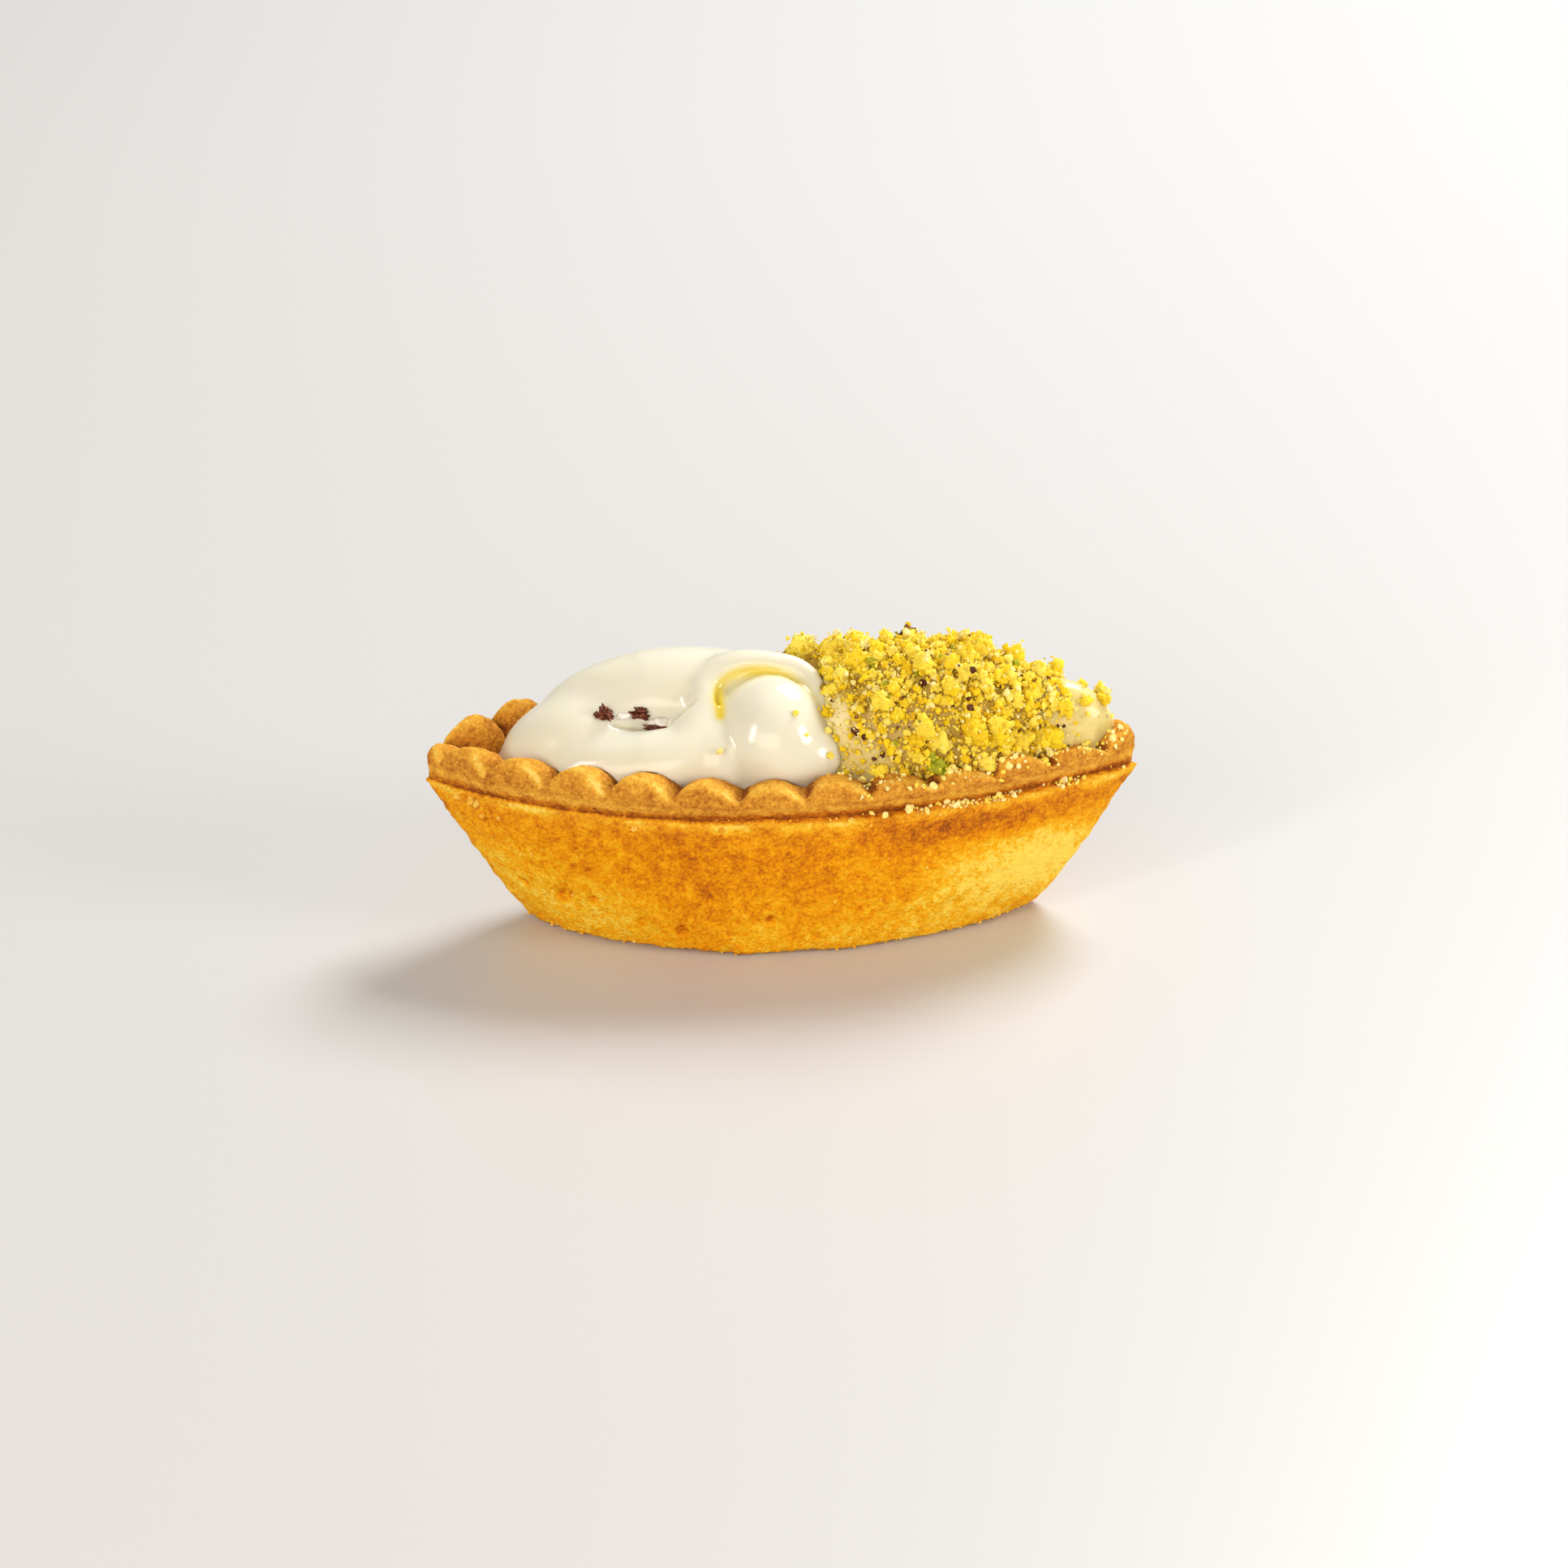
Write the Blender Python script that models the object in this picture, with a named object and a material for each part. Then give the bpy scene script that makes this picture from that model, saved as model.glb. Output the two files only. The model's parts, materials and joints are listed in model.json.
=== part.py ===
"""A boat-shaped shortcrust tartlet, filled with white cream at one end and pistachio cream at the other.

Frame: +X along the boat to the pistachio end, +Y across it to the back, +Z up, in metres. The shell is one
piece of pastry with a crimped rim of round lobes. The white cream is a piped swirl whose rope folds over a
round thumb of cream, with flakes of dark chocolate in its pit. The pistachio cream is a mound under a heap
of chopped pistachios. Each filling runs down to the shell's floor.
"""

import math
import random

import bmesh
import bpy
from mathutils import Euler, Matrix, Vector, noise
from mathutils.bvhtree import BVHTree

MM = 0.001

# Hull, from the flat base up to the seam under the rim
BASE_HALF_LENGTH = 33.1 * MM
BASE_HALF_WIDTH = 12.3 * MM
SEAM_HALF_LENGTH = 46.7 * MM
SEAM_HALF_WIDTH = 15.5 * MM
SEAM_HEIGHT = 20.4 * MM
BOAT_MIDDLE = 0.9 * MM  # along X, from where the fillings' forms are placed
SEAM_FALL = 0.4 * MM  # the hand-pressed boat is this much lower at its right tip than in the middle
BASE_EDGE = 1.1 * MM  # rounding of the base's edge
HULL_STEPS = 4
HULL_UNEVENNESS = 0.25 * MM
UNEVENNESS_PITCH = 11.0 * MM  # between the hull's soft dents
SIDE_SWELL = 0.5  # power of the width over the height: less than 1 makes the sides swell out
TIP_SWELL = 0.86  # the same for the length
TIP_CHANGE = 3.0  # power of the plan's change from the blunt base to the pointed seam

# Crimped rim
RIM_RISE = 7.7 * MM  # from the seam to the top of a lobe
NOTCH_RISE = 3.6 * MM  # from the seam to the bottom of the notch between two lobes
RIM_FACE = 2.6 * MM  # the smooth outer face under the lobes
RIM_LEAN = 1.2 * MM  # how far the rim leans out over the seam
RIM_THICKNESS = 5.6 * MM
NOTCH_THICKNESS = 4.7 * MM
CREST_OUTWARDS = 0.8  # 1 puts the crest in the middle of the rim's thickness, less moves it outwards
TIP_DROP = 2.3 * MM  # the rim is this much lower at both tips
FRONT_DROP = 3.7 * MM  # the front lobes are pressed down by this much at their right end
FRONT_DROP_LEFT = 0.2  # share of that drop at their left end
NOTCH_DROP = 0.2  # share of that drop that the notches take
LEDGE = (0.3 * MM, 2.0 * MM)  # hull edge left standing out under the rim: least, and most at front right
LEDGE_TURN = 0.36  # where the ledge is widest
LEDGE_RISE = 0.3 * MM
LOBES = 24
POINTS_PER_LOBE = 6
LOBE_SLANT = 0.12  # share of a lobe that a notch turns on by as it runs inwards
LOBE_DRIFT = (0.48, 0.08)  # shares of a lobe by which the lobes stand off from even places, at left and right
LOBE_FLATNESS = 0.6  # less makes the lobes squarer
LOBE_TILT = 0.85  # less moves their tops towards the left
LOBE_UNEVENNESS = 0.35 * MM
RIM_STEPS = 7

# Hollow of the shell
FLOOR_HEIGHT = 4.0 * MM
FLOOR_HALF_LENGTH = 28.5 * MM
FLOOR_HALF_WIDTH = 8.6 * MM
CAVITY_STEPS = 2
CAVITY_CURVE = 1.3  # more than 1 keeps the hollow's walls steep near the rim

# Plan outline of every ring
TIP_SHARPNESS = 0.9  # 1 gives a pointed tip, 0.5 a round one
BASE_SHARPNESS = 0.78
RIM_SHARPNESS = 0.77
FULLER_AT_LEFT = 0.06  # share by which the boat is wider towards its left end

# Fillings
GAP = 0.5 * MM  # between pieces that touch
GAP_OVER_RIM = 2.5  # times as much above the rim
TOP_STEP = 4  # the fillings are clear of the rim from this one of its steps inwards
FILL_LEVEL = 23.0 * MM
SPLIT_FRONT = 7.8 * MM  # the creams meet here along the front half
SPLIT_CURVE = 80.0  # per metre: the meeting face bends to the left towards the back
SPLIT_BEND_FROM = -3.0 * MM
TALL = 60.0 * MM  # cutters reach this far

# Forms of the fillings: centre and radii of round masses in millimetres, turns in degrees
WHITE_DOME = ((-12.8, 4.0, 25.0), (20.3, 7.8, 11.7))
WHITE_THUMB = ((-1.1, -2.0, 27.2), (8.6, 8.3, 8.1))
WHITE_THUMB_FOOT = ((-0.4, -3.0, 23.0), (9.4, 8.2, 9.2))
WHITE_JOIN = ((-9.0, -5.0, 23.0), (6.0, 5.2, 7.0))
WHITE_PIT = ((-18.0, -2.6, 31.4), (6.2, 2.6, 2.6))
WHITE_ROPE = [
    (-32.0, 0.3, 22.6, 3.9),
    (-26.0, -4.0, 24.1, 4.9),
    (-18.0, -6.0, 24.6, 4.8),
    (-12.0, -5.6, 26.0, 4.6),
    (-9.6, -2.2, 29.8, 3.8),
    (-8.8, 0.8, 33.0, 3.0),
    (-4.8, 1.7, 35.2, 2.3),
    (1.0, 1.3, 35.0, 1.9),
    (4.6, 0.0, 33.2, 1.5),
    (6.4, -1.6, 30.0, 1.0),
]
WHITE_CURDS = [
    ((-14.2, -1.6, 30.0), (2.2, 1.5, 1.3)),
    ((-16.6, -0.6, 30.2), (1.7, 1.4, 1.2)),
    ((-20.0, -2.0, 29.5), (2.0, 1.2, 1.0)),
]
CHOCOLATE_FLAKES = [
    ((-23.0, -3.4, 30.2), (20, 60, 25)),
    ((-18.2, -1.6, 31.0), (10, 40, -20)),
    ((-18.0, -3.2, 29.9), (0, 30, 50)),
    ((-15.8, -4.4, 29.6), (10, 15, 10)),
]
PISTACHIO_MOUND = ((18.0, 0.8, 24.5), (17.8, 10.2, 13.0))
PISTACHIO_SHOULDER = ((5.5, 6.0, 26.0), (8.5, 5.2, 8.8))
PISTACHIO_MIDDLE = ((28.0, 0.5, 25.0), (10.0, 6.8, 10.4))
PISTACHIO_END = ((35.2, 0.2, 25.0), (9.4, 4.7, 7.8))

# Grains on the fillings
NUT_COUNT = 85
NUTS_FROM = 28.0 * MM  # the cream is bare below this height
NUT_RADIUS = (0.9 * MM, 1.9 * MM)
NUT_SPREAD = (18.5 * MM, 9.5 * MM)
NUT_SPREAD_SHIFT = (-1.5 * MM, 1.5 * MM)
NUT_ROUGHNESS = (0.82, 1.15)
FLAKE = (2.6 * MM, 2.0 * MM, 0.9 * MM)
FLAKE_TAPER = (0.5, 0.6, 1.0)


def clear_scene():
    for old in list(bpy.data.objects):
        bpy.data.objects.remove(old, do_unlink=True)


def make_material(name, colour, roughness):
    material = bpy.data.materials.new(name)
    material.use_nodes = True
    shader = material.node_tree.nodes["Principled BSDF"]
    shader.inputs["Base Color"].default_value = (*colour, 1.0)
    shader.inputs["Roughness"].default_value = roughness
    shader.inputs["Metallic"].default_value = 0.0
    return material


def add_object(name, bm):
    """Turn a bmesh into an object of the scene, in triangles so that joining and cutting stay exact."""
    bmesh.ops.recalc_face_normals(bm, faces=bm.faces)
    bmesh.ops.triangulate(bm, faces=bm.faces)
    mesh = bpy.data.meshes.new(name)
    bm.to_mesh(mesh)
    bm.free()
    obj = bpy.data.objects.new(name, mesh)
    bpy.context.scene.collection.objects.link(obj)
    return obj


def boolean(target, shapes, operation):
    """Join the shapes to the target, or cut it with them, and remove the shapes."""
    group = bpy.data.collections.new("shapes")
    bpy.context.scene.collection.children.link(group)
    for shape in shapes:
        bpy.context.scene.collection.objects.unlink(shape)
        group.objects.link(shape)
    modifier = target.modifiers.new("boolean", "BOOLEAN")
    modifier.operand_type = "COLLECTION"
    modifier.collection = group
    modifier.operation = operation
    modifier.solver = "EXACT"
    bpy.context.view_layer.update()
    depsgraph = bpy.context.evaluated_depsgraph_get()
    mesh = bpy.data.meshes.new_from_object(target.evaluated_get(depsgraph))
    target.modifiers.clear()
    target.data = mesh
    for shape in shapes:
        bpy.data.objects.remove(shape, do_unlink=True)
    bpy.data.collections.remove(group)


def keep_main_body(obj):
    """Drop loose scraps, and fill the pockets that joining has sealed."""
    bm = bmesh.new()
    bm.from_mesh(obj.data)
    left = set(bm.verts)
    bodies = []
    while left:
        body = {left.pop()}
        front = list(body)
        while front:
            vert = front.pop()
            for other in (edge.other_vert(vert) for edge in vert.link_edges):
                if other in left:
                    left.remove(other)
                    body.add(other)
                    front.append(other)
        bodies.append(body)
    main = max(bodies, key=len)
    bmesh.ops.delete(bm, geom=[vert for vert in bm.verts if vert not in main], context="VERTS")
    bm.to_mesh(obj.data)
    bm.free()


def mix(low, high, share):
    return low + (high - low) * share


# Plan outline


def outline(turn, half_length, half_width, sharpness):
    """Point of the boat's plan. Turn 0 is the left tip, and the front edge comes after it."""
    angle = 2 * math.pi * turn
    x = -math.cos(angle)
    y = -math.copysign(abs(math.sin(angle)) ** (2 * sharpness), math.sin(angle))
    return BOAT_MIDDLE + half_length * x, half_width * y * (1 - FULLER_AT_LEFT * x)


def even_turns(count):
    """Turns whose points lie evenly along the seam."""
    fine = 40 * count
    points = [outline(i / fine, SEAM_HALF_LENGTH, SEAM_HALF_WIDTH, TIP_SHARPNESS) for i in range(fine + 1)]
    lengths = [0.0]
    for start, end in zip(points, points[1:]):
        lengths.append(lengths[-1] + math.dist(start, end))
    turns = []
    at = 0
    for i in range(count):
        wanted = lengths[-1] * i / count
        while lengths[at + 1] < wanted:
            at += 1
        share = (wanted - lengths[at]) / (lengths[at + 1] - lengths[at])
        turns.append((at + share) / fine)
    return turns


def nearness_to_tip(turn):
    """0 along the middle of the boat, 1 at both tips."""
    return abs(math.cos(2 * math.pi * turn)) ** 10


def seam_height(x):
    return SEAM_HEIGHT - SEAM_FALL * x / SEAM_HALF_LENGTH


# Rings of the shell


def hull_ring(turns, share):
    """Ring of the hull at a share of the way up from the base to the seam."""
    points = []
    for turn in turns:
        length = mix(BASE_HALF_LENGTH, SEAM_HALF_LENGTH, share ** TIP_SWELL)
        width = mix(BASE_HALF_WIDTH, SEAM_HALF_WIDTH, share ** SIDE_SWELL)
        x, y = outline(turn, length, width, mix(BASE_SHARPNESS, TIP_SHARPNESS, share ** TIP_CHANGE))
        z = seam_height(x) * share
        dent = noise.noise(Vector((x, y, z)) / UNEVENNESS_PITCH)
        push = HULL_UNEVENNESS * math.sin(math.pi * share) * dent
        points.append(Vector((x, y + math.copysign(push, y), z)))
    return points


def base_ring(turns, inset, height):
    length, width = BASE_HALF_LENGTH - inset, BASE_HALF_WIDTH - inset
    return [Vector((*outline(turn, length, width, BASE_SHARPNESS), height)) for turn in turns]


def ledge_width(turn):
    facing = max(0.0, math.cos(2 * math.pi * (turn - LEDGE_TURN)))
    return mix(LEDGE[0], LEDGE[1], facing ** 2)


def offset_point(turn, offset, rise, sharpness):
    """Point at an outward offset from the seam and a rise above it."""
    x, y = outline(turn, SEAM_HALF_LENGTH + offset, SEAM_HALF_WIDTH + offset, sharpness)
    return Vector((x, y, seam_height(x) + rise))


def lobe_shape(place):
    """0 in the notches and 1 on the lobes. Place counts lobes along the seam, from the left tip's middle."""
    phase = (place + 0.5) % 1.0
    return math.sin(math.pi * phase ** LOBE_TILT) ** LOBE_FLATNESS


def lobe_place(i, turn, count, angle):
    """Place of a ring's point among the lobes. The lobes drift a little along the boat and slant inwards."""
    around = math.sin(2 * math.pi * turn)
    drift = mix(LOBE_DRIFT[0], LOBE_DRIFT[1], (1 - math.cos(2 * math.pi * turn)) / 2)
    drift *= math.copysign(abs(around) ** 0.6, around)
    return i / count * LOBES + drift - LOBE_SLANT * angle / math.pi


def front_drop(turn):
    """How far the front lobes are pressed down."""
    share = mix(FRONT_DROP_LEFT, 1.0, (1 - math.cos(2 * math.pi * turn)) / 2)
    return FRONT_DROP * share * max(0.0, math.sin(2 * math.pi * turn)) ** 0.9


def rim_outer(turn):
    """Offset of the rim's outer face from the seam."""
    return RIM_LEAN * (1 - 0.7 * nearness_to_tip(turn)) - 0.7 * ledge_width(turn)


def rim_arch(angle):
    """0 at the foot of both faces of the rim, 1 on its crest."""
    return max(0.0, math.sin(math.pi * (angle / math.pi) ** CREST_OUTWARDS)) ** 0.8


def rim_ring(turns, angle, gap=0.0):
    """Ring of the rim. The angle is 0 on its outer face, half pi on top and pi on its inner face."""
    heights = random.Random(3)
    lobe_heights = [heights.uniform(-1, 1) * LOBE_UNEVENNESS for _ in range(LOBES)]
    points = []
    for i, turn in enumerate(turns):
        place = lobe_place(i, turn, len(turns), angle)
        lobe = lobe_shape(place)
        tip_drop = TIP_DROP * nearness_to_tip(turn)
        lobe_rise = RIM_RISE - tip_drop - front_drop(turn) + lobe_heights[math.floor(place + 0.5) % LOBES]
        notch_rise = NOTCH_RISE - 0.4 * tip_drop - NOTCH_DROP * front_drop(turn)
        rise = mix(notch_rise, lobe_rise, lobe) + GAP_OVER_RIM * gap
        half = mix(NOTCH_THICKNESS, RIM_THICKNESS, lobe) / 2
        across = math.copysign(abs(math.cos(angle)) ** 0.8, math.cos(angle))
        offset = rim_outer(turn) - half + half * across - gap
        sharpness = mix(TIP_SHARPNESS, RIM_SHARPNESS, math.sin(angle))
        points.append(offset_point(turn, offset, mix(RIM_FACE, rise, rim_arch(angle)), sharpness))
    return points


def cavity_ring(turns, share, gap=0.0):
    """Ring of the hollow, at a share of the way down from the rim's inner face to the floor."""
    upper = rim_ring(turns, math.pi, gap)
    points = []
    for turn, start in zip(turns, upper):
        x, y = outline(turn, FLOOR_HALF_LENGTH - gap, FLOOR_HALF_WIDTH - gap, BASE_SHARPNESS)
        flat = start.lerp(Vector((x, y, start.z)), share ** CAVITY_CURVE)
        points.append(Vector((flat.x, flat.y, mix(start.z, FLOOR_HEIGHT + gap, share))))
    return points


def loft(name, rings):
    """Closed skin through rings of equally many points, with a flat face at each end."""
    bm = bmesh.new()
    bmesh.ops.create_circle(bm, segments=len(rings[0]), radius=1.0)
    order = bm.verts.layers.int.new("order")
    bm.verts.ensure_lookup_table()
    for i, vert in enumerate(bm.verts):
        vert[order] = i
        vert.co = rings[0][i]
    edges = list(bm.edges)
    bmesh.ops.edgeloop_fill(bm, edges=edges)
    for points in rings[1:]:
        grown = bmesh.ops.extrude_edge_only(bm, edges=edges)["geom"]
        edges = [part for part in grown if isinstance(part, bmesh.types.BMEdge)]
        for vert in (part for part in grown if isinstance(part, bmesh.types.BMVert)):
            vert.co = points[vert[order]]
    bmesh.ops.edgeloop_fill(bm, edges=edges)
    return add_object(name, bm)


def build_shell(material):
    turns = even_turns(LOBES * POINTS_PER_LOBE)
    rings = [base_ring(turns, BASE_EDGE, 0.0), base_ring(turns, 0.25 * BASE_EDGE, 0.25 * BASE_EDGE)]
    rings += [hull_ring(turns, (step + 0.3) / HULL_STEPS) for step in range(HULL_STEPS)]
    rings.append([offset_point(turn, 0.0, 0.0, TIP_SHARPNESS) for turn in turns])
    rings.append([offset_point(turn, -ledge_width(turn), LEDGE_RISE, TIP_SHARPNESS) for turn in turns])
    rings += [rim_ring(turns, math.pi * step / RIM_STEPS) for step in range(RIM_STEPS + 1)]
    rings += [cavity_ring(turns, (step + 1) / CAVITY_STEPS) for step in range(CAVITY_STEPS)]
    shell = loft("shell", rings)
    shell.data.materials.append(material)
    return shell


# Fillings


def territory(name):
    """Everything inside the shell and straight above its hollow, a gap clear of the pastry."""
    turns = even_turns(LOBES * POINTS_PER_LOBE)
    rings = [rim_ring(turns, math.pi * step / RIM_STEPS, GAP) for step in range(TOP_STEP, RIM_STEPS + 1)]
    rings.insert(0, [Vector((p.x, p.y, TALL)) for p in rings[0]])
    rings.append(cavity_ring(turns, 1.0, GAP))
    return loft(name, rings)


def split_x(y):
    """Where the two creams meet: straight along the front, bent to the left at the back."""
    return SPLIT_FRONT - SPLIT_CURVE * max(0.0, y - SPLIT_BEND_FROM) ** 2


def side_block(name, side):
    """Block on one side of the face between the creams: side -1 holds the white one."""
    steps = 8
    width = 20 * MM
    ys = [mix(-width, width, i / steps) for i in range(steps + 1)]
    face = [(split_x(y) + side * GAP / 2, y) for y in ys]
    corners = face + [(side * TALL, width), (side * TALL, -width)]
    return loft(name, [[Vector((x, y, z)) for x, y in corners] for z in (-TALL, TALL)])


def blob(name, centre, radii, segments=24):
    """Smooth round mass. Centre and radii are in millimetres."""
    bm = bmesh.new()
    bmesh.ops.create_uvsphere(bm, u_segments=segments, v_segments=segments // 2, radius=1.0)
    bmesh.ops.scale(bm, vec=Vector(radii) * MM, verts=bm.verts)
    bmesh.ops.translate(bm, vec=Vector(centre) * MM, verts=bm.verts)
    return add_object(name, bm)


def smooth_path(points, steps):
    """Smooth curve through points of x, y, z and radius."""
    path = []
    last = len(points) - 1
    for i in range(last):
        before, start, end, after = (Vector(points[max(0, min(last, i + k))]) for k in (-1, 0, 1, 2))
        for step in range(steps):
            t = step / steps
            curve = 2 * start + (end - before) * t
            curve += (2 * before - 5 * start + 4 * end - after) * t ** 2
            curve += (3 * start - before - 3 * end + after) * t ** 3
            path.append(curve / 2)
    path.append(Vector(points[-1]))
    return path


def rope(name, points, sides=12, steps=4):
    """Piped rope of cream along points of x, y, z and radius, in millimetres."""
    path = smooth_path(points, steps)
    centres = [Vector(p[:3]) * MM for p in path]
    rings = []
    up = Vector((0, 0, 1))
    for i, centre in enumerate(centres):
        ahead = centres[min(i + 1, len(centres) - 1)] - centres[max(i - 1, 0)]
        side = ahead.cross(up).normalized()
        up = side.cross(ahead).normalized()
        radius = path[i][3] * MM
        turns = [2 * math.pi * k / sides for k in range(sides)]
        rings.append([centre + radius * (math.cos(t) * side + math.sin(t) * up) for t in turns])
    return loft(name, rings)


def flake(name, centre, turn):
    """Broken flake of dark chocolate, a bevelled chip."""
    bm = bmesh.new()
    bmesh.ops.create_cube(bm, size=1.0)
    bmesh.ops.scale(bm, vec=FLAKE, verts=bm.verts)
    corner = [vert for vert in bm.verts if vert.co.x > 0 and vert.co.y > 0]
    bmesh.ops.scale(bm, vec=FLAKE_TAPER, verts=corner)
    rotation = Euler([math.radians(angle) for angle in turn]).to_matrix()
    bmesh.ops.rotate(bm, cent=(0, 0, 0), matrix=rotation, verts=bm.verts)
    bmesh.ops.translate(bm, vec=Vector(centre) * MM, verts=bm.verts)
    return add_object(name, bm)


def filling_core(name):
    """The level filling, before its forms are added: a slab that reaches from the floor to FILL_LEVEL."""
    corners = [(-TALL, -TALL), (TALL, -TALL), (TALL, TALL), (-TALL, TALL)]
    return loft(name, [[Vector((x, y, z)) for x, y in corners] for z in (0.0, FILL_LEVEL)])


def trim(filling, side):
    """Cut a filling to the hollow of the shell and to its own side of the meeting face."""
    boolean(filling, [territory("territory")], "INTERSECT")
    boolean(filling, [side_block("side", side)], "INTERSECT")


def build_white_cream(material):
    dome = blob("dome", *WHITE_DOME, segments=30)
    boolean(dome, [blob("pit", *WHITE_PIT, segments=20)], "DIFFERENCE")
    cream = filling_core("white_cream")
    thumb = [blob("thumb", *sizes, segments=18) for sizes in (WHITE_THUMB, WHITE_THUMB_FOOT, WHITE_JOIN)]
    boolean(cream, [dome, rope("rope", WHITE_ROPE)] + thumb, "UNION")
    trim(cream, -1)
    curds = [blob("curd", *sizes, segments=12) for sizes in WHITE_CURDS]
    flakes = [flake("flake", *place) for place in CHOCOLATE_FLAKES]
    boolean(cream, curds + flakes, "UNION")
    keep_main_body(cream)
    cream.data.materials.append(material)
    return cream


def hollow_half_width(x):
    """Half the width of the opening inside the rim's crest."""
    length = SEAM_HALF_LENGTH - 0.5 * RIM_THICKNESS
    share = min(1.0, abs(x - BOAT_MIDDLE) / length)
    return (SEAM_HALF_WIDTH - 0.5 * RIM_THICKNESS) * (1 - share ** 2) ** TIP_SHARPNESS


def nut_places(cream):
    """Centres and radii of the chopped nuts, largest first, spread over the mound by a sunflower spiral."""
    draw = random.Random(11)
    mesh = cream.data
    tree = BVHTree.FromPolygons([v.co for v in mesh.vertices], [p.vertices for p in mesh.polygons])
    centre = Vector(PISTACHIO_MOUND[0]) * MM
    places = []
    for i in range(2 * NUT_COUNT):
        share = (i + 0.5) / NUT_COUNT
        angle = i * math.pi * (3 - math.sqrt(5))
        x = centre.x + NUT_SPREAD_SHIFT[0] + NUT_SPREAD[0] * math.sqrt(share) * math.cos(angle)
        y = centre.y + NUT_SPREAD_SHIFT[1] + NUT_SPREAD[1] * math.sqrt(share) * math.sin(angle)
        radius = mix(NUT_RADIUS[1], NUT_RADIUS[0], min(1.0, share)) * draw.uniform(0.85, 1.15)
        hit, _, _, _ = tree.ray_cast(Vector((x, y, TALL)), Vector((0, 0, -1)))
        if not hit or x - radius < split_x(y) + GAP or len(places) == NUT_COUNT:
            continue
        over_rim = hit.z - radius > seam_height(x) + RIM_RISE + 2 * LOBE_UNEVENNESS
        if over_rim or (hit.z > NUTS_FROM and abs(y) + radius < hollow_half_width(x)):
            places.append((hit + Vector((0, 0, 0.25 * radius)), radius))
    return sorted(places, key=lambda place: -place[1])


def nut(name, centre, radius, draw):
    """Chopped nut: a rough lump of twenty faces."""
    bm = bmesh.new()
    bmesh.ops.create_icosphere(bm, subdivisions=1, radius=radius)
    for vert in bm.verts:
        vert.co *= draw.uniform(*NUT_ROUGHNESS)
    rotation = Matrix.Rotation(draw.uniform(0, math.tau), 3, "Z")
    bmesh.ops.rotate(bm, cent=(0, 0, 0), matrix=rotation, verts=bm.verts)
    bmesh.ops.translate(bm, vec=centre, verts=bm.verts)
    return add_object(name, bm)


def build_pistachio_cream(material):
    cream = filling_core("pistachio_cream")
    forms = [PISTACHIO_MOUND, PISTACHIO_SHOULDER, PISTACHIO_MIDDLE, PISTACHIO_END]
    boolean(cream, [blob("form", *sizes, segments=22) for sizes in forms], "UNION")
    trim(cream, 1)
    draw = random.Random(5)
    nuts = [nut("nut", centre, radius, draw) for centre, radius in nut_places(cream)]
    boolean(cream, nuts, "UNION")
    keep_main_body(cream)
    cream.data.materials.append(material)
    return cream


clear_scene()
pastry = make_material("shortcrust", (0.62, 0.30, 0.07), 0.75)
vanilla = make_material("white cream", (0.90, 0.86, 0.68), 0.3)
pistachio = make_material("pistachio cream", (0.62, 0.52, 0.10), 0.6)
shell = build_shell(pastry)
middle = [(min(side) + max(side)) / 2 for side in zip(*(vert.co for vert in shell.data.vertices))]
for piece in (shell, build_white_cream(vanilla), build_pistachio_cream(pistachio)):
    piece.data.transform(Matrix.Translation((-middle[0], -middle[1], 0)))
    piece.data.shade_smooth()
    piece.data.set_sharp_from_angle(angle=math.radians(40))
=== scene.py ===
"""Looks of a boat-shaped shortcrust tartlet with white cream and pistachio cream."""

import json
import math
import random

import bmesh
import bpy
import numpy as np
from mathutils import Euler, Matrix, Vector, noise
from mathutils.bvhtree import BVHTree

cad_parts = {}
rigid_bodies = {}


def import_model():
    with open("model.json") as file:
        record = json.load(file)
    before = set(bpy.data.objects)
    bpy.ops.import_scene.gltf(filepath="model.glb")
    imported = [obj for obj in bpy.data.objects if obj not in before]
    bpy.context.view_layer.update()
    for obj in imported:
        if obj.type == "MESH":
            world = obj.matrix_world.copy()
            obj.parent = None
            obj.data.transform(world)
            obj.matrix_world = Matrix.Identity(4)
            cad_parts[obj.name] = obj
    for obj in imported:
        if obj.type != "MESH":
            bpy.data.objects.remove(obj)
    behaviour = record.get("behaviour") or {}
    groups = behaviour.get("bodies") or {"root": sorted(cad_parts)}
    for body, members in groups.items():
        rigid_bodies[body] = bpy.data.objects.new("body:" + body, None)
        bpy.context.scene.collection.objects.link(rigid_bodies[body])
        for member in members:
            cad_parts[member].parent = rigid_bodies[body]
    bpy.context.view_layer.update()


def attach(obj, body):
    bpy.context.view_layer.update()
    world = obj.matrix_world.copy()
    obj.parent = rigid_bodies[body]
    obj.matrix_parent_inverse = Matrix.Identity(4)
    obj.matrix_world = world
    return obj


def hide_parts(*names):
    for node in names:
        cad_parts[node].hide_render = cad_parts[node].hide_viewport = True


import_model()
scene = bpy.context.scene
MM = 0.001


# Camera
# It looks down on the tartlet's front from about two thirds of a metre, through a long lens.
# The tartlet is turned a little against it, so the camera stands round to the tartlet's left.
IMAGE_SIZE = 1932  # pixels
FOCAL_LENGTH = 6323.0  # pixels
BASE_PIXEL = (965.6, 1118.7)  # where the middle of the tartlet's base falls
CAMERA_DISTANCE = 684 * MM  # along the view, to the middle of the base
CAMERA_ELEVATION = math.radians(26.57)
CAMERA_ROLL = math.radians(-0.36)
BOAT_TURN = math.radians(3.0)

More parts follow.
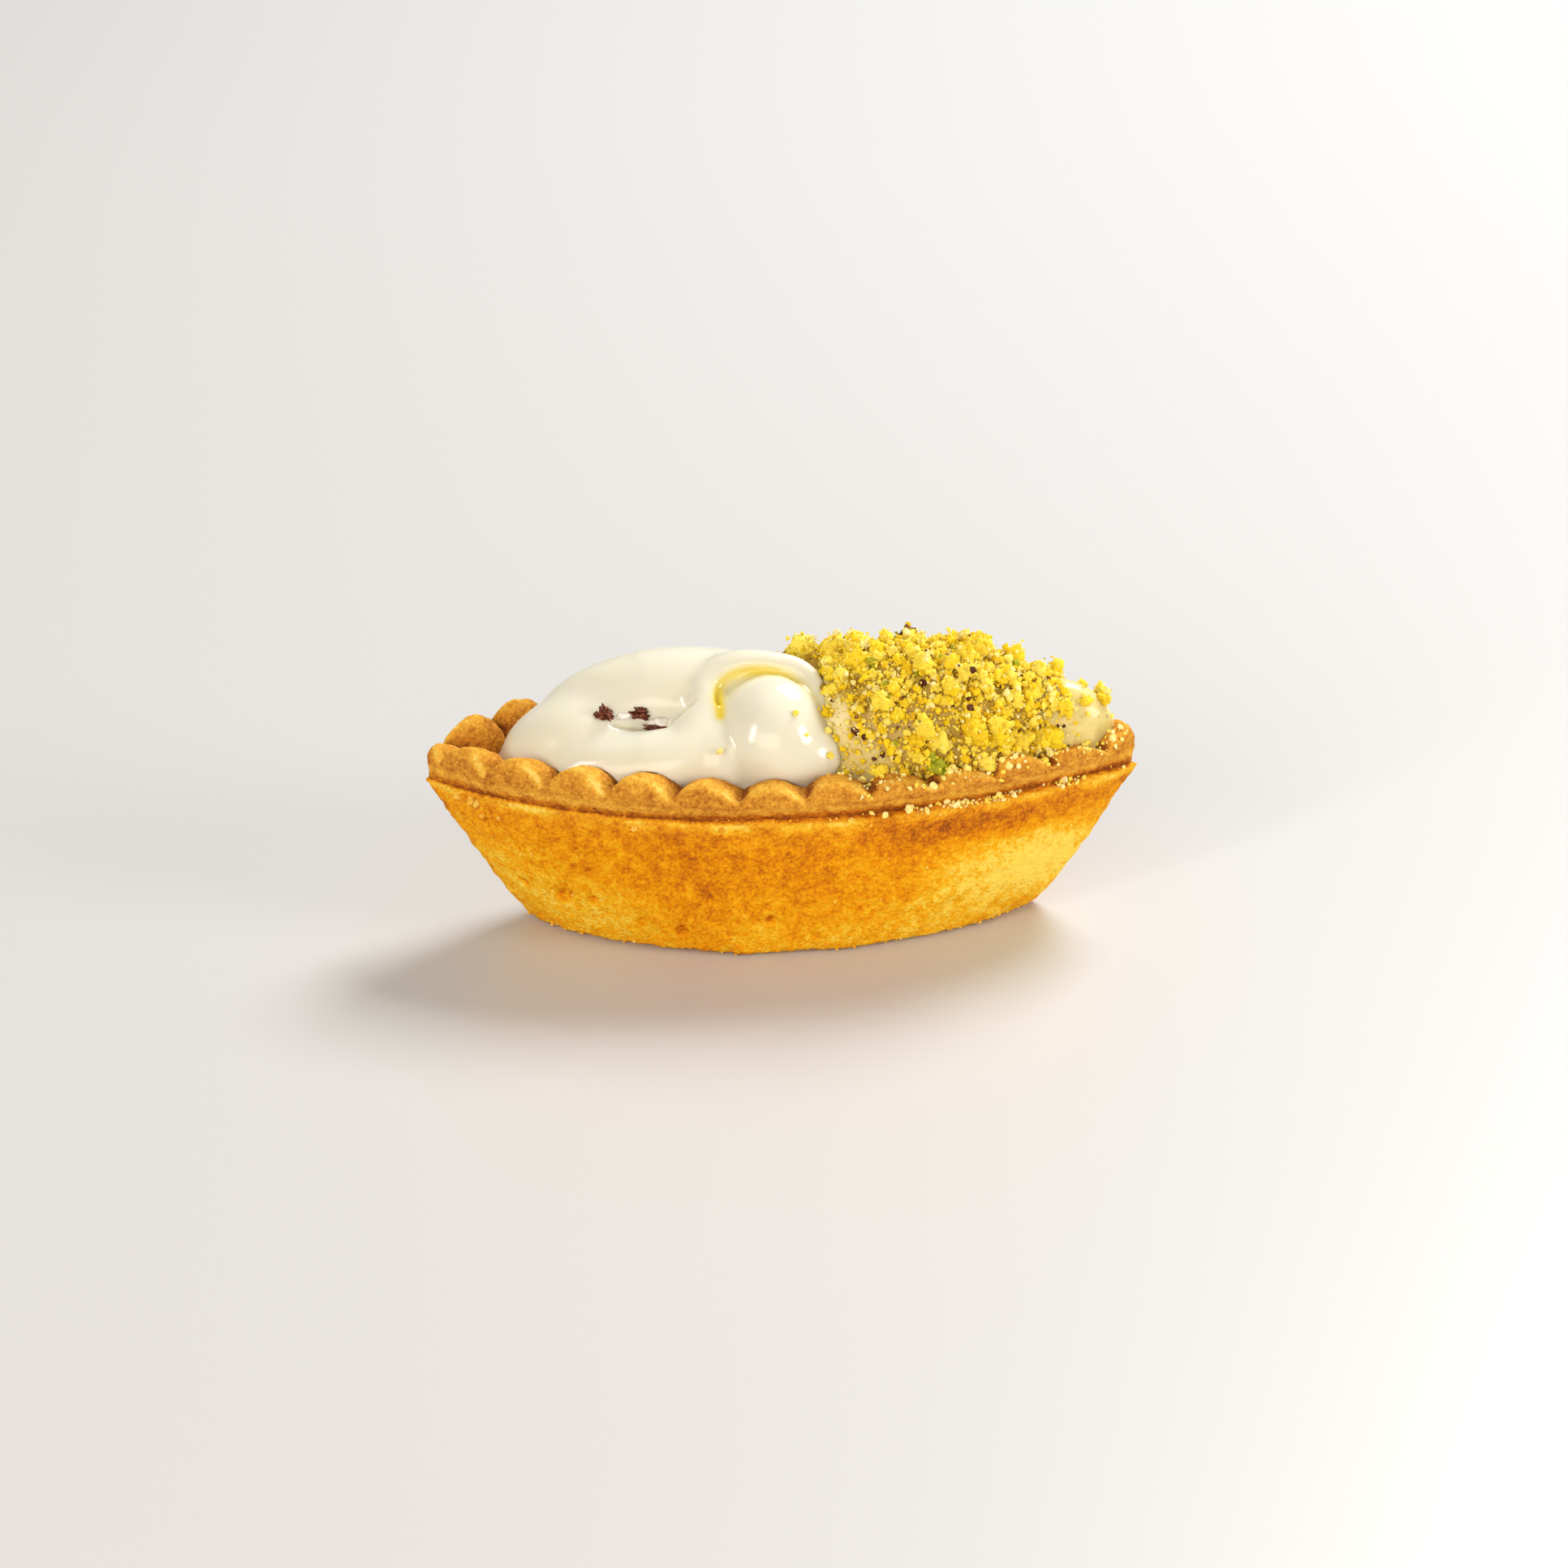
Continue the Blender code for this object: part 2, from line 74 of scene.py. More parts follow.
view_ahead = Vector((0, math.cos(CAMERA_ELEVATION), -math.sin(CAMERA_ELEVATION)))
level_right = Vector((1, 0, 0))
level_up = level_right.cross(view_ahead)
view_right = math.cos(CAMERA_ROLL) * level_right + math.sin(CAMERA_ROLL) * level_up
view_up = math.cos(CAMERA_ROLL) * level_up - math.sin(CAMERA_ROLL) * level_right
across = (BASE_PIXEL[0] - IMAGE_SIZE / 2) / FOCAL_LENGTH * CAMERA_DISTANCE
down = (BASE_PIXEL[1] - IMAGE_SIZE / 2) / FOCAL_LENGTH * CAMERA_DISTANCE
to_base = view_ahead * CAMERA_DISTANCE + view_right * across - view_up * down
boat_turn = Matrix.Rotation(-BOAT_TURN, 3, "Z")
camera = bpy.data.objects.new("camera", bpy.data.cameras.new("camera"))
scene.collection.objects.link(camera)
camera.data.lens = FOCAL_LENGTH / IMAGE_SIZE * camera.data.sensor_width
camera.data.clip_start = 10 * MM
camera_axes = Matrix([boat_turn @ axis for axis in (view_right, view_up, -view_ahead)]).transposed()
camera.matrix_world = Matrix.Translation(boat_turn @ -to_base) @ camera_axes.to_4x4()
scene.camera = camera


# Floor and light
# A plain pale table top under a soft studio light: a cool key light behind on the right, a tall window
# light on the right, a wide warm soft box in front, a narrow one on the left, and a pale surround.
FLOOR_COLOUR = (0.61, 0.60, 0.59)
KEY_LIGHT = {"place": (0.42, 0.55, 0.72), "size": (0.40, 0.40), "power": 10.5, "colour": (0.94, 0.97, 1.0)}
WINDOW_LIGHT = {"place": (0.84, -0.32, 0.28), "size": (0.26, 0.36), "power": 4.0, "colour": (1.0, 0.97, 0.92)}
FRONT_LIGHT = {"place": (-0.22, -0.85, 0.33), "size": (0.90, 0.45), "power": 3.8, "colour": (1.0, 0.88, 0.73)}
LEFT_LIGHT = {"place": (-0.62, -0.55, 0.42), "size": (0.10, 0.50), "power": 2.4, "colour": (1.0, 0.98, 0.95)}
SURROUND = {"colour": (1.0, 0.93, 0.83), "strength": 0.37}
TABLE_REACH = 6.0  # metres
AIM_HEIGHT = 15 * MM  # what the lights face, over the middle of the base


def new_material(name, colour, roughness):
    """A material with one Principled shader. Returns it, its nodes, its links and the shader."""
    material = bpy.data.materials.new(name)
    material.use_nodes = True
    nodes, links = material.node_tree.nodes, material.node_tree.links
    shader = nodes["Principled BSDF"]
    shader.inputs["Base Color"].default_value = (*colour, 1.0)
    shader.inputs["Roughness"].default_value = roughness
    return material, nodes, links, shader


def add_object(name, mesh, material):
    obj = bpy.data.objects.new(name, mesh)
    scene.collection.objects.link(obj)
    mesh.materials.clear()
    mesh.materials.append(material)
    return obj


def add_light(name, place, size, power, colour):
    """Rectangular area light that faces the tartlet."""
    light = bpy.data.lights.new(name, "AREA")
    light.shape = "RECTANGLE"
    light.size, light.size_y = size
    light.energy = power
    light.color = colour
    obj = bpy.data.objects.new(name, light)
    obj.location = place
    obj.rotation_euler = (Vector((0, 0, AIM_HEIGHT)) - Vector(place)).to_track_quat("-Z", "Y").to_euler()
    scene.collection.objects.link(obj)


floor_mesh = bpy.data.meshes.new("floor")
bm = bmesh.new()
bmesh.ops.create_grid(bm, x_segments=1, y_segments=1, size=TABLE_REACH)
bm.to_mesh(floor_mesh)
bm.free()
floor = add_object("floor", floor_mesh, new_material("pale table top", FLOOR_COLOUR, 0.35)[0])
add_light("key light", **KEY_LIGHT)
add_light("window light", **WINDOW_LIGHT)
add_light("front soft box", **FRONT_LIGHT)
add_light("left soft box", **LEFT_LIGHT)
scene.world = bpy.data.worlds.new("surround")
scene.world.use_nodes = True
surround = scene.world.node_tree.nodes["Background"]
surround.inputs["Color"].default_value = (*SURROUND["colour"], 1.0)
surround.inputs["Strength"].default_value = SURROUND["strength"]
scene.view_settings.view_transform = "Standard"


# Pastry shell
# Baked shortcrust, pressed into a boat-shaped tin in one piece. The crimped rim stands on the hull's
# edge as a ring of round lobes, browned on its outer face, with painted shade in the notches and painted
# highlights on the lobes' edges and on the lip.
SHELL_MIDDLE = Vector((0.825 * MM, 0.323 * MM, 0.0))  # of the shell's box, from where the forms are placed
BASE_HALF_LENGTH = 33.1 * MM
BASE_HALF_WIDTH = 12.3 * MM
SEAM_HALF_LENGTH = 46.7 * MM
SEAM_HALF_WIDTH = 15.5 * MM
SEAM_HEIGHT = 20.4 * MM
BOAT_MIDDLE = 0.9 * MM
SEAM_FALL = 0.4 * MM
BASE_EDGE = 1.1 * MM
SIDE_SWELL = 0.5
TIP_SWELL = 0.86
TIP_CHANGE = 3.0
RIM_RISE = 7.7 * MM
NOTCH_RISE = 3.5 * MM
RIM_FACE = 2.6 * MM
RIM_LEAN = 1.2 * MM
RIM_THICKNESS = 5.6 * MM
NOTCH_THICKNESS = 4.7 * MM
CREST_OUTWARDS = 0.8
CREST_FULLNESS = 0.8
FACE_STEEPNESS = 0.8
UPRIGHT_AT_TIP = 0.7
LEDGE_PUSH = 0.7
TIP_REACH = 10
TIP_DROP = 2.3 * MM
NOTCH_TIP_DROP = 0.4
FRONT_DROP = 3.7 * MM
FRONT_DROP_LEFT = 0.2
FRONT_DROP_SPREAD = 0.9
NOTCH_DROP = 0.2
LEDGE = (0.3 * MM, 2.0 * MM)
LEDGE_TURN = 0.36
LEDGE_RISE = 0.3 * MM
LOBES = 24
LOBE_SLANT = 0.12
LOBE_DRIFT = (0.48, 0.08)
LOBE_DRIFT_SPREAD = 0.6
LOBE_FLATNESS = 0.62
LOBE_TILT = 0.85
LOBE_UNEVENNESS = 0.35 * MM
FLOOR_HEIGHT = 4.0 * MM
FLOOR_HALF_LENGTH = 28.5 * MM
FLOOR_HALF_WIDTH = 8.6 * MM
CAVITY_CURVE = 1.3
TIP_SHARPNESS = 0.9
BASE_SHARPNESS = 0.78
RIM_SHARPNESS = 0.77
FULLER_AT_LEFT = 0.06
POINTS_PER_LOBE = 21
HULL_RINGS = 50
FIRST_HULL_RING = 1.5  # ring steps above the base
RIM_RINGS = 34
CAVITY_RINGS = 6
RIM_SOFTENING = 2
LENGTH_STEPS = 20001  # points that measure the seam's length


def mix(low, high, share):
    return low + (high - low) * share


def outline(turn, half_length, half_width, sharpness):
    """Point of the boat's plan. Turn 0 is the left tip, and the front edge comes after it."""
    angle = 2 * math.pi * turn
    x = -math.cos(angle)
    y = -math.copysign(abs(math.sin(angle)) ** (2 * sharpness), math.sin(angle))
    return BOAT_MIDDLE + half_length * x, half_width * y * (1 - FULLER_AT_LEFT * x)


def even_turns(count):
    """Turns whose points lie evenly along the seam."""
    fine = np.linspace(0, 1, LENGTH_STEPS)
    points = np.array([outline(turn, SEAM_HALF_LENGTH, SEAM_HALF_WIDTH, TIP_SHARPNESS) for turn in fine])
    lengths = np.concatenate([[0], np.cumsum(np.linalg.norm(np.diff(points, axis=0), axis=1))])
    return list(np.interp(np.arange(count) / count * lengths[-1], lengths, fine))


def nearness_to_tip(turn):
    return abs(math.cos(2 * math.pi * turn)) ** TIP_REACH


def seam_height(x):
    return SEAM_HEIGHT - SEAM_FALL * x / SEAM_HALF_LENGTH


def hull_ring(turns, share):
    """Ring of the hull at a share of the way up from the base to the seam."""
    points = []
    for turn in turns:
        length = mix(BASE_HALF_LENGTH, SEAM_HALF_LENGTH, share ** TIP_SWELL)
        width = mix(BASE_HALF_WIDTH, SEAM_HALF_WIDTH, share ** SIDE_SWELL)
        x, y = outline(turn, length, width, mix(BASE_SHARPNESS, TIP_SHARPNESS, share ** TIP_CHANGE))
        points.append(Vector((x, y, seam_height(x) * share)))
    return points


def base_ring(turns, inset, height):
    length, width = BASE_HALF_LENGTH - inset, BASE_HALF_WIDTH - inset
    return [Vector((*outline(turn, length, width, BASE_SHARPNESS), height)) for turn in turns]


def ledge_width(turn):
    facing = max(0.0, math.cos(2 * math.pi * (turn - LEDGE_TURN)))
    return mix(LEDGE[0], LEDGE[1], facing ** 2)


def offset_point(turn, offset, rise, sharpness=TIP_SHARPNESS):
    """Point at an outward offset from the seam and a rise above it."""
    x, y = outline(turn, SEAM_HALF_LENGTH + offset, SEAM_HALF_WIDTH + offset, sharpness)
    return Vector((x, y, seam_height(x) + rise))


def lobe_shape(place):
    """0 in the notches and 1 on the lobes. Place counts lobes along the seam from the left tip."""
    phase = (place + 0.5) % 1.0
    return math.sin(math.pi * phase ** LOBE_TILT) ** LOBE_FLATNESS


def lobe_place(i, turn, count, angle):
    """Place of a ring's point among the lobes. The lobes drift a little along the boat and slant inwards."""
    around = math.sin(2 * math.pi * turn)
    drift = mix(LOBE_DRIFT[0], LOBE_DRIFT[1], (1 - math.cos(2 * math.pi * turn)) / 2)
    drift *= math.copysign(abs(around) ** LOBE_DRIFT_SPREAD, around)
    return i / count * LOBES + drift - LOBE_SLANT * angle / math.pi


def front_drop(turn):
    """How far the front lobes are pressed down."""
    share = mix(FRONT_DROP_LEFT, 1.0, (1 - math.cos(2 * math.pi * turn)) / 2)
    return FRONT_DROP * share * max(0.0, math.sin(2 * math.pi * turn)) ** FRONT_DROP_SPREAD


def rim_arch(angle):
    """0 at the foot of both faces of the rim, 1 on its crest."""
    return max(0.0, math.sin(math.pi * (angle / math.pi) ** CREST_OUTWARDS)) ** CREST_FULLNESS


def rim_ring(turns, angle, gap=0.0):
    """Ring of the rim. The angle is 0 on its outer face, half pi on top and pi on its inner face."""
    heights = random.Random(3)
    lobe_heights = [heights.uniform(-1, 1) * LOBE_UNEVENNESS for _ in range(LOBES)]
    points = []
    for i, turn in enumerate(turns):
        place = lobe_place(i, turn, len(turns), angle)
        lobe = lobe_shape(place)
        tip_drop = TIP_DROP * nearness_to_tip(turn)
        lobe_rise = RIM_RISE - tip_drop - front_drop(turn) + lobe_heights[math.floor(place + 0.5) % LOBES]
        notch_rise = NOTCH_RISE - NOTCH_TIP_DROP * tip_drop - NOTCH_DROP * front_drop(turn)
        rise = mix(notch_rise, lobe_rise, lobe) + gap
        half = mix(NOTCH_THICKNESS, RIM_THICKNESS, lobe) / 2
        side = math.copysign(abs(math.cos(angle)) ** FACE_STEEPNESS, math.cos(angle))
        outer = RIM_LEAN * (1 - UPRIGHT_AT_TIP * nearness_to_tip(turn)) - LEDGE_PUSH * ledge_width(turn)
        sharpness = mix(TIP_SHARPNESS, RIM_SHARPNESS, math.sin(angle))
        offset = outer - half + half * side - gap
        points.append(offset_point(turn, offset, mix(RIM_FACE, rise, rim_arch(angle)), sharpness))
    return points


def cavity_ring(turns, share, gap=0.0):
    """Ring of the hollow, at a share of the way down from the rim's inner face to the floor."""
    points = []
    for turn, start in zip(turns, rim_ring(turns, math.pi, gap)):
        x, y = outline(turn, FLOOR_HALF_LENGTH - gap, FLOOR_HALF_WIDTH - gap, BASE_SHARPNESS)
        flat = start.lerp(Vector((x, y, start.z)), share ** CAVITY_CURVE)
        points.append(Vector((flat.x, flat.y, mix(start.z, FLOOR_HEIGHT + gap, share))))
    return points


def loft(rings):
    """Bmesh of a closed skin through rings of equally many points, with a flat face at each end.

    Its vertices carry the number of their ring and their order in it."""
    bm = bmesh.new()
    bmesh.ops.create_circle(bm, segments=len(rings[0]), radius=1.0)
    order = bm.verts.layers.int.new("order")
    level = bm.verts.layers.int.new("level")
    for i, vert in enumerate(list(bm.verts)):
        vert[order] = i
        vert.co = rings[0][i]
    edges = list(bm.edges)
    bmesh.ops.edgeloop_fill(bm, edges=edges)
    for number, points in enumerate(rings[1:], 1):
        grown = bmesh.ops.extrude_edge_only(bm, edges=edges)["geom"]
        edges = [part for part in grown if isinstance(part, bmesh.types.BMEdge)]
        for vert in (part for part in grown if isinstance(part, bmesh.types.BMVert)):
            vert[level] = number
            vert.co = points[vert[order]]
    bmesh.ops.edgeloop_fill(bm, edges=edges)
    bmesh.ops.recalc_face_normals(bm, faces=bm.faces)
    return bm


def finish_mesh(bm, name):
    """Move a piece from the base's middle to the frame's origin and shade it smooth."""
    bmesh.ops.translate(bm, vec=-SHELL_MIDDLE, verts=bm.verts)
    mesh = bpy.data.meshes.new(name)
    bm.to_mesh(mesh)
    bm.free()
    mesh.shade_smooth()
    return mesh


def set_attribute(mesh, name, values):
    attribute = mesh.attributes.new(name, "FLOAT", "POINT")
    attribute.data.foreach_set("value", np.asarray(values, np.float32))


def soften(bm, verts, rounds, factor=0.5):
    """Smooth some of a skin's vertices."""
    ways = {"use_axis_x": True, "use_axis_y": True, "use_axis_z": True}
    for _ in range(rounds):
        bmesh.ops.smooth_vert(bm, verts=verts, factor=factor, **ways)


def bump(x, centre, width):
    """Smooth hill of height 1."""
    return math.exp(-((x - centre) / width) ** 2)


# Pitted stretches: centre and reach in millimetres, and how much deeper the pits are
PITTED = [((-27.0, -11.0, 8.0), 5.0, 1.0), ((36.0, -7.0, 10.0), 3.0, 0.9), ((0.0, -13.0, 8.0), 14.0, 0.35)]
# Single pits where the dough tore: centre, reach and depth in millimetres
TORN_PITS = [
    ((-28.6, -7.5, 6.9), 1.2, 0.75),
    ((-24.5, -9.2, 7.1), 0.8, 0.5),
    ((-33.5, -4.5, 7.7), 0.6, 0.35),
    ((-18.4, -11.0, 4.6), 0.7, 0.4),
    ((-13.2, -12.3, 3.5), 0.9, 0.5),
    ((-1.6, -14.0, 5.8), 0.7, 0.5),
    ((36.6, -5.3, 8.4), 0.8, 0.6),
    ((22.0, 11.0, 6.0), 1.0, 0.6),
]
PIT_SHARE, MOST_PITS = 0.3, 1.3  # depth of pits away from the pitted stretches, and at most
PIT_DEPTH = 3.0  # millimetres, per share of a pit's reach
PIT_SPACING, PIT_REACH = 1.9, 0.42  # millimetres, and share of the spacing
PIT_PATCHES, PIT_THRESHOLD = 2.6, 0.12  # size in millimetres, and how far pits go beyond half of the patches
TEAR_RAGGEDNESS, TEAR_GRAIN = 1.4, 0.8  # share of the depth, and millimetres
# Relief of the crust and of the lip: height and size, in millimetres
DENTS, CRUMB, GRIT = (0.20, 7.0), (0.18, 2.0), (0.12, 0.8)
LIP_RISE, LIP_WAVES, LIP_GRIT = 0.15, (0.55, 4.0), (0.35, 1.1)
LIP_LIT, LIP_PATCHES = 0.55, (1.6, 5.0)  # share of the lip with a painted highlight, and its change over patches of a size
DRIP = Vector((-5.5, -13.4, 0.9))  # bulge on the base's edge, in millimetres
DRIP_HEIGHT, DRIP_REACH = 0.5, 1.1  # millimetres
# Browning of the hull's sides: place and reach along and up in millimetres, and how much browner
TONES = [
    (-27.0, 5.5, 10.0, 5.0, -0.26),
    (33.0, 9.0, 13.0, 6.5, -0.52),
    (14.0, 2.5, 15.0, 4.0, -0.18),
    (-37.0, 12.0, 6.0, 6.0, -0.10),
    (-6.0, 13.0, 20.0, 5.0, 0.06),
    (27.0, 17.5, 15.0, 2.6, 0.30),
]


def hull_tone(place):
    """How much browner the hull's side is at a point. The back repeats the front, the other way round."""
    p = place / MM
    along = p.x if p.y < 0 else -p.x
    return sum(more * bump(along, x, wide) * bump(p.z, z, high) for x, z, wide, high, more in TONES)


def pit_depth(place):
    """Depth of the pits in the crust at a point, in millimetres."""
    p = place / MM
    pits = PIT_SHARE
    for centre, reach, more in PITTED:
        pits += more * math.exp(-(p - Vector(centre)).length_squared / reach ** 2)
    cell = noise.voronoi(p / PIT_SPACING)[0][0]
    gate = max(0.0, noise.noise(p / PIT_PATCHES + Vector((5, 3, 1))) + PIT_THRESHOLD)
    depth = min(MOST_PITS, pits) * PIT_DEPTH * gate * max(0.0, PIT_REACH - cell)
    for centre, reach, torn in TORN_PITS:
        ragged = max(0.0, 1.0 + TEAR_RAGGEDNESS * noise.noise(p / TEAR_GRAIN))
        depth += torn * ragged * math.exp(-((p - Vector(centre)).length / reach) ** 4)
    return depth


def crust_relief(place):
    """How far the crust stands out at a point, in metres: soft dents, crumb, grit, pits and the drip."""
    p = place / MM
    relief = DENTS[0] * noise.noise(p / DENTS[1]) + CRUMB[0] * noise.fractal(p / CRUMB[1], 1.0, 2.0, 3)
    relief += GRIT[0] * noise.noise(p / GRIT[1]) - pit_depth(place)
    relief += DRIP_HEIGHT * math.exp(-(p - DRIP).length_squared / DRIP_REACH ** 2)
    return relief * MM


def lip_relief(place):
    """Raggedness of the thin lip along the seam, in metres."""
    p = place / MM
    waves = LIP_WAVES[0] * noise.noise(p / LIP_WAVES[1] + Vector((9, 2, 4)))
    return (LIP_RISE + waves + LIP_GRIT[0] * noise.noise(p / LIP_GRIT[1])) * MM


def lip_highlight_share(place):
    """Share of the painted highlight on the lip: 0 where the lip is as brown as the hull, 1 where it is lit
    most.
    """
    patches = noise.noise(place / MM / LIP_PATCHES[1] + Vector((2, 7, 1)))
    return max(0.0, min(1.0, LIP_LIT + LIP_PATCHES[0] * patches))


# Browning runs from 0, the palest yellow, to 1, the darkest brown, and it holds painted light and shade as
# well
# The ledge's second value is painted shade, darkest in the crease under the rim's foot
HULL_BROWN, LEDGE_BROWN_AND_CREASE_SHADE, RIM_BROWN = (0.46, 0.60), (0.46, 1.0), 0.66
# Painted shade in the pits, and painted highlights on the lip and on the ledge
PIT_SHADE, LIP_HIGHLIGHT, LEDGE_HIGHLIGHT = 0.5, 0.50, 0.30
# The lobes' upper edges and tops are paler pastry with a painted highlight, and their right side has more
# painted highlight
EDGE_PALE_AND_LIT, RIGHT_EDGE_HIGHLIGHT, CREST_PALE_AND_LIT = 0.14, 0.34, 0.18
# Painted shade in the notches, darkest in a groove beside each notch's bottom
GROOVE_SHADE, NOTCH_SHADE = 0.55, 0.3


def hull_browning_and_light(number, place):
    """Browning of the hull's side on a ring of it: browner towards the seam, with painted shade in the pits
    and a painted highlight on its lip.
    """
    up = min(1.0, max(0.0, place.z / SEAM_HEIGHT)) ** 1.2
    # Deeper pits get more painted shade
    brown = mix(*HULL_BROWN, up) + hull_tone(place) + PIT_SHADE * pit_depth(place)
    # The lip gets a painted highlight in patches
    return brown - LIP_HIGHLIGHT * bump(number, seam_start - 0.8, 2.0) * lip_highlight_share(place)


def ledge_browning_and_light(number, place):
    """Browning of the ledge and of the rim's foot, with painted shade that is darkest where they meet and a
    painted highlight on the lip.
    """
    # Painted shade darkens the crease between the ledge and the rim's foot
    brown = mix(*LEDGE_BROWN_AND_CREASE_SHADE, bump(number, seam_start + 2.2, 1.4))
    # The ledge's edge gets the same painted highlight
    return brown - LEDGE_HIGHLIGHT * bump(number, seam_start, 0.8) * lip_highlight_share(place)


def rim_browning_and_light(height, place):
    """Browning of the rim. The height is 0 at its outer foot and 1 at its inner one.

    Each lobe's upper edge and top are pale pastry with a painted highlight, most on the edge's right side,
    and each notch has painted shade, darkest in a groove."""
    lobe, phase = lobe_shape(place), (place + 0.5) % 1.0
    pale_lit_edge = bump(height, mix(0.15, 0.31, lobe), 0.10)
    lit_right_side = bump(phase, 0.86, 0.18) + bump(phase, -0.14, 0.18)
    # Painted highlight on the lobes' upper edges, strongest on their right side, where the light comes from
    brown = RIM_BROWN - (EDGE_PALE_AND_LIT + RIGHT_EDGE_HIGHLIGHT * lit_right_side) * pale_lit_edge
    brown = brown - CREST_PALE_AND_LIT * lobe * bump(height, 0.42, 0.16)
    # Painted shade in each notch's groove and on its inner side
    groove_shade = GROOVE_SHADE * bump(phase, 0.05, 0.07) * bump(height, 0.42, 0.22)
    return brown + (groove_shade + NOTCH_SHADE * (1 - lobe) * bump(height, 0.7, 0.2))


turns = even_turns(LOBES * POINTS_PER_LOBE)
rings = [base_ring(turns, 4 * BASE_EDGE, 0.0), base_ring(turns, BASE_EDGE, 0.0)]
rings += [base_ring(turns, 0.25 * BASE_EDGE, 0.25 * BASE_EDGE)]
hull_shares = [(step + FIRST_HULL_RING) / (HULL_RINGS + FIRST_HULL_RING) for step in range(HULL_RINGS)]
rings += [hull_ring(turns, share) for share in hull_shares]
seam_start = len(rings)
rings.append([offset_point(turn, 0.0, 0.0) for turn in turns])
rings.append([offset_point(turn, -0.5 * ledge_width(turn), 0.8 * LEDGE_RISE) for turn in turns])
rings.append([offset_point(turn, -ledge_width(turn), LEDGE_RISE) for turn in turns])
foot = rings[-1]
face = rim_ring(turns, 0.0)
rings += [[a.lerp(b, share) for a, b in zip(foot, face)] for share in (0.25, 0.5, 0.75)]
rim_start = len(rings)
rings += [rim_ring(turns, math.pi * step / RIM_RINGS) for step in range(RIM_RINGS + 1)]
cavity_start = len(rings)
rings += [cavity_ring(turns, (step + 1) / CAVITY_RINGS) for step in range(CAVITY_RINGS)]
bm = loft(rings)
order, level = bm.verts.layers.int["order"], bm.verts.layers.int["level"]
bm.normal_update()
soft = [vert for vert in bm.verts if rim_start - 2 <= vert[level] < cavity_start]
soften(bm, soft, RIM_SOFTENING)
bm.normal_update()
moves, browning, tan = {}, {}, {}
for vert in bm.verts:
    number, turn = vert[level], turns[vert[order]]
    fine = 1.0
    if number < 2:
        fine = 0.0
    elif number >= cavity_start:
        fine = 0.3
    moves[vert] = vert.normal * crust_relief(vert.co) * fine
    moves[vert] += vert.normal * lip_relief(vert.co) * bump(number, seam_start + 0.5, 1.2)
    # Browning, with painted shade in the pits, the crease and the notches, and painted highlights on the lip
    # and the lobes' edges
    if number < seam_start:
        browning[vert.index] = hull_browning_and_light(number, vert.co)
    elif number < rim_start:
        browning[vert.index] = ledge_browning_and_light(number, vert.co)
    else:
        height = min(1.0, (number - rim_start) / RIM_RINGS)
        place = lobe_place(vert[order], turn, len(turns), height * math.pi)
        browning[vert.index] = rim_browning_and_light(height, place)
    # Tan is 1 on the rim and fades down the hull, and mixes the rim's colours with the hull's
    tan[vert.index] = 1.0 if number >= rim_start - 2 else 0.35 * bump(number, rim_start - 2, 8.0)
for vert, move in moves.items():
    vert.co += move
shell_mesh = finish_mesh(bm, "pastry_shell")
set_attribute(shell_mesh, "browning", [browning[i] for i in range(len(shell_mesh.vertices))])
set_attribute(shell_mesh, "tan", [tan[i] for i in range(len(shell_mesh.vertices))])


def make_grain_group():
    """Node group: fine grain of baked or ground food. It puts out a speckle value and a height."""
    group = bpy.data.node_groups.new("food grain", "ShaderNodeTree")
    group.interface.new_socket("Grain Size", in_out="INPUT", socket_type="NodeSocketFloat")
    group.interface.new_socket("Speckle", in_out="OUTPUT", socket_type="NodeSocketFloat")
    group.interface.new_socket("Height", in_out="OUTPUT", socket_type="NodeSocketFloat")
    nodes, links = group.nodes, group.links
    start, end = nodes.new("NodeGroupInput"), nodes.new("NodeGroupOutput")
    place = nodes.new("ShaderNodeTexCoord")
    scale = nodes.new("ShaderNodeMath")
    scale.operation = "DIVIDE"
    scale.inputs[0].default_value = 1 / MM
    links.new(start.outputs["Grain Size"], scale.inputs[1])
    fine = nodes.new("ShaderNodeTexNoise")
    fine.inputs["Detail"].default_value = 4.0
    fine.inputs["Roughness"].default_value = 0.65
    cells = nodes.new("ShaderNodeTexVoronoi")
    for texture in (fine, cells):
        links.new(place.outputs["Object"], texture.inputs["Vector"])
        links.new(scale.outputs[0], texture.inputs["Scale"])
    height = nodes.new("ShaderNodeMath")
    height.operation = "MULTIPLY_ADD"
    height.inputs[1].default_value = -0.5
    links.new(cells.outputs["Distance"], height.inputs[0])
    links.new(fine.outputs["Fac"], height.inputs[2])
    links.new(fine.outputs["Fac"], end.inputs["Speckle"])
    links.new(height.outputs[0], end.inputs["Height"])
    return group


def add_grain(nodes, size):
    grain = nodes.new("ShaderNodeGroup")
    grain.node_tree = grain_group
    grain.inputs["Grain Size"].default_value = size
    return grain


def add_bump(nodes, links, shader, height, distance, strength=1.0):
    """Connect a height, in shares of the distance, to the shader's normal."""
    node = nodes.new("ShaderNodeBump")
    node.inputs["Distance"].default_value = distance
    node.inputs["Strength"].default_value = strength
    links.new(height, node.inputs["Height"])
    links.new(node.outputs["Normal"], shader.inputs["Normal"])


def add_ramp(nodes, links, value, stops):
    """Colour ramp through stops of position and colour."""
    ramp = nodes.new("ShaderNodeValToRGB")
    elements = ramp.color_ramp.elements
    while len(elements) < len(stops):
        elements.new(0.5)
    for element, (position, colour) in zip(elements, stops):
        element.position = position
        element.color = (*colour, 1.0)
    links.new(value, ramp.inputs["Fac"])
    return ramp.outputs["Color"]


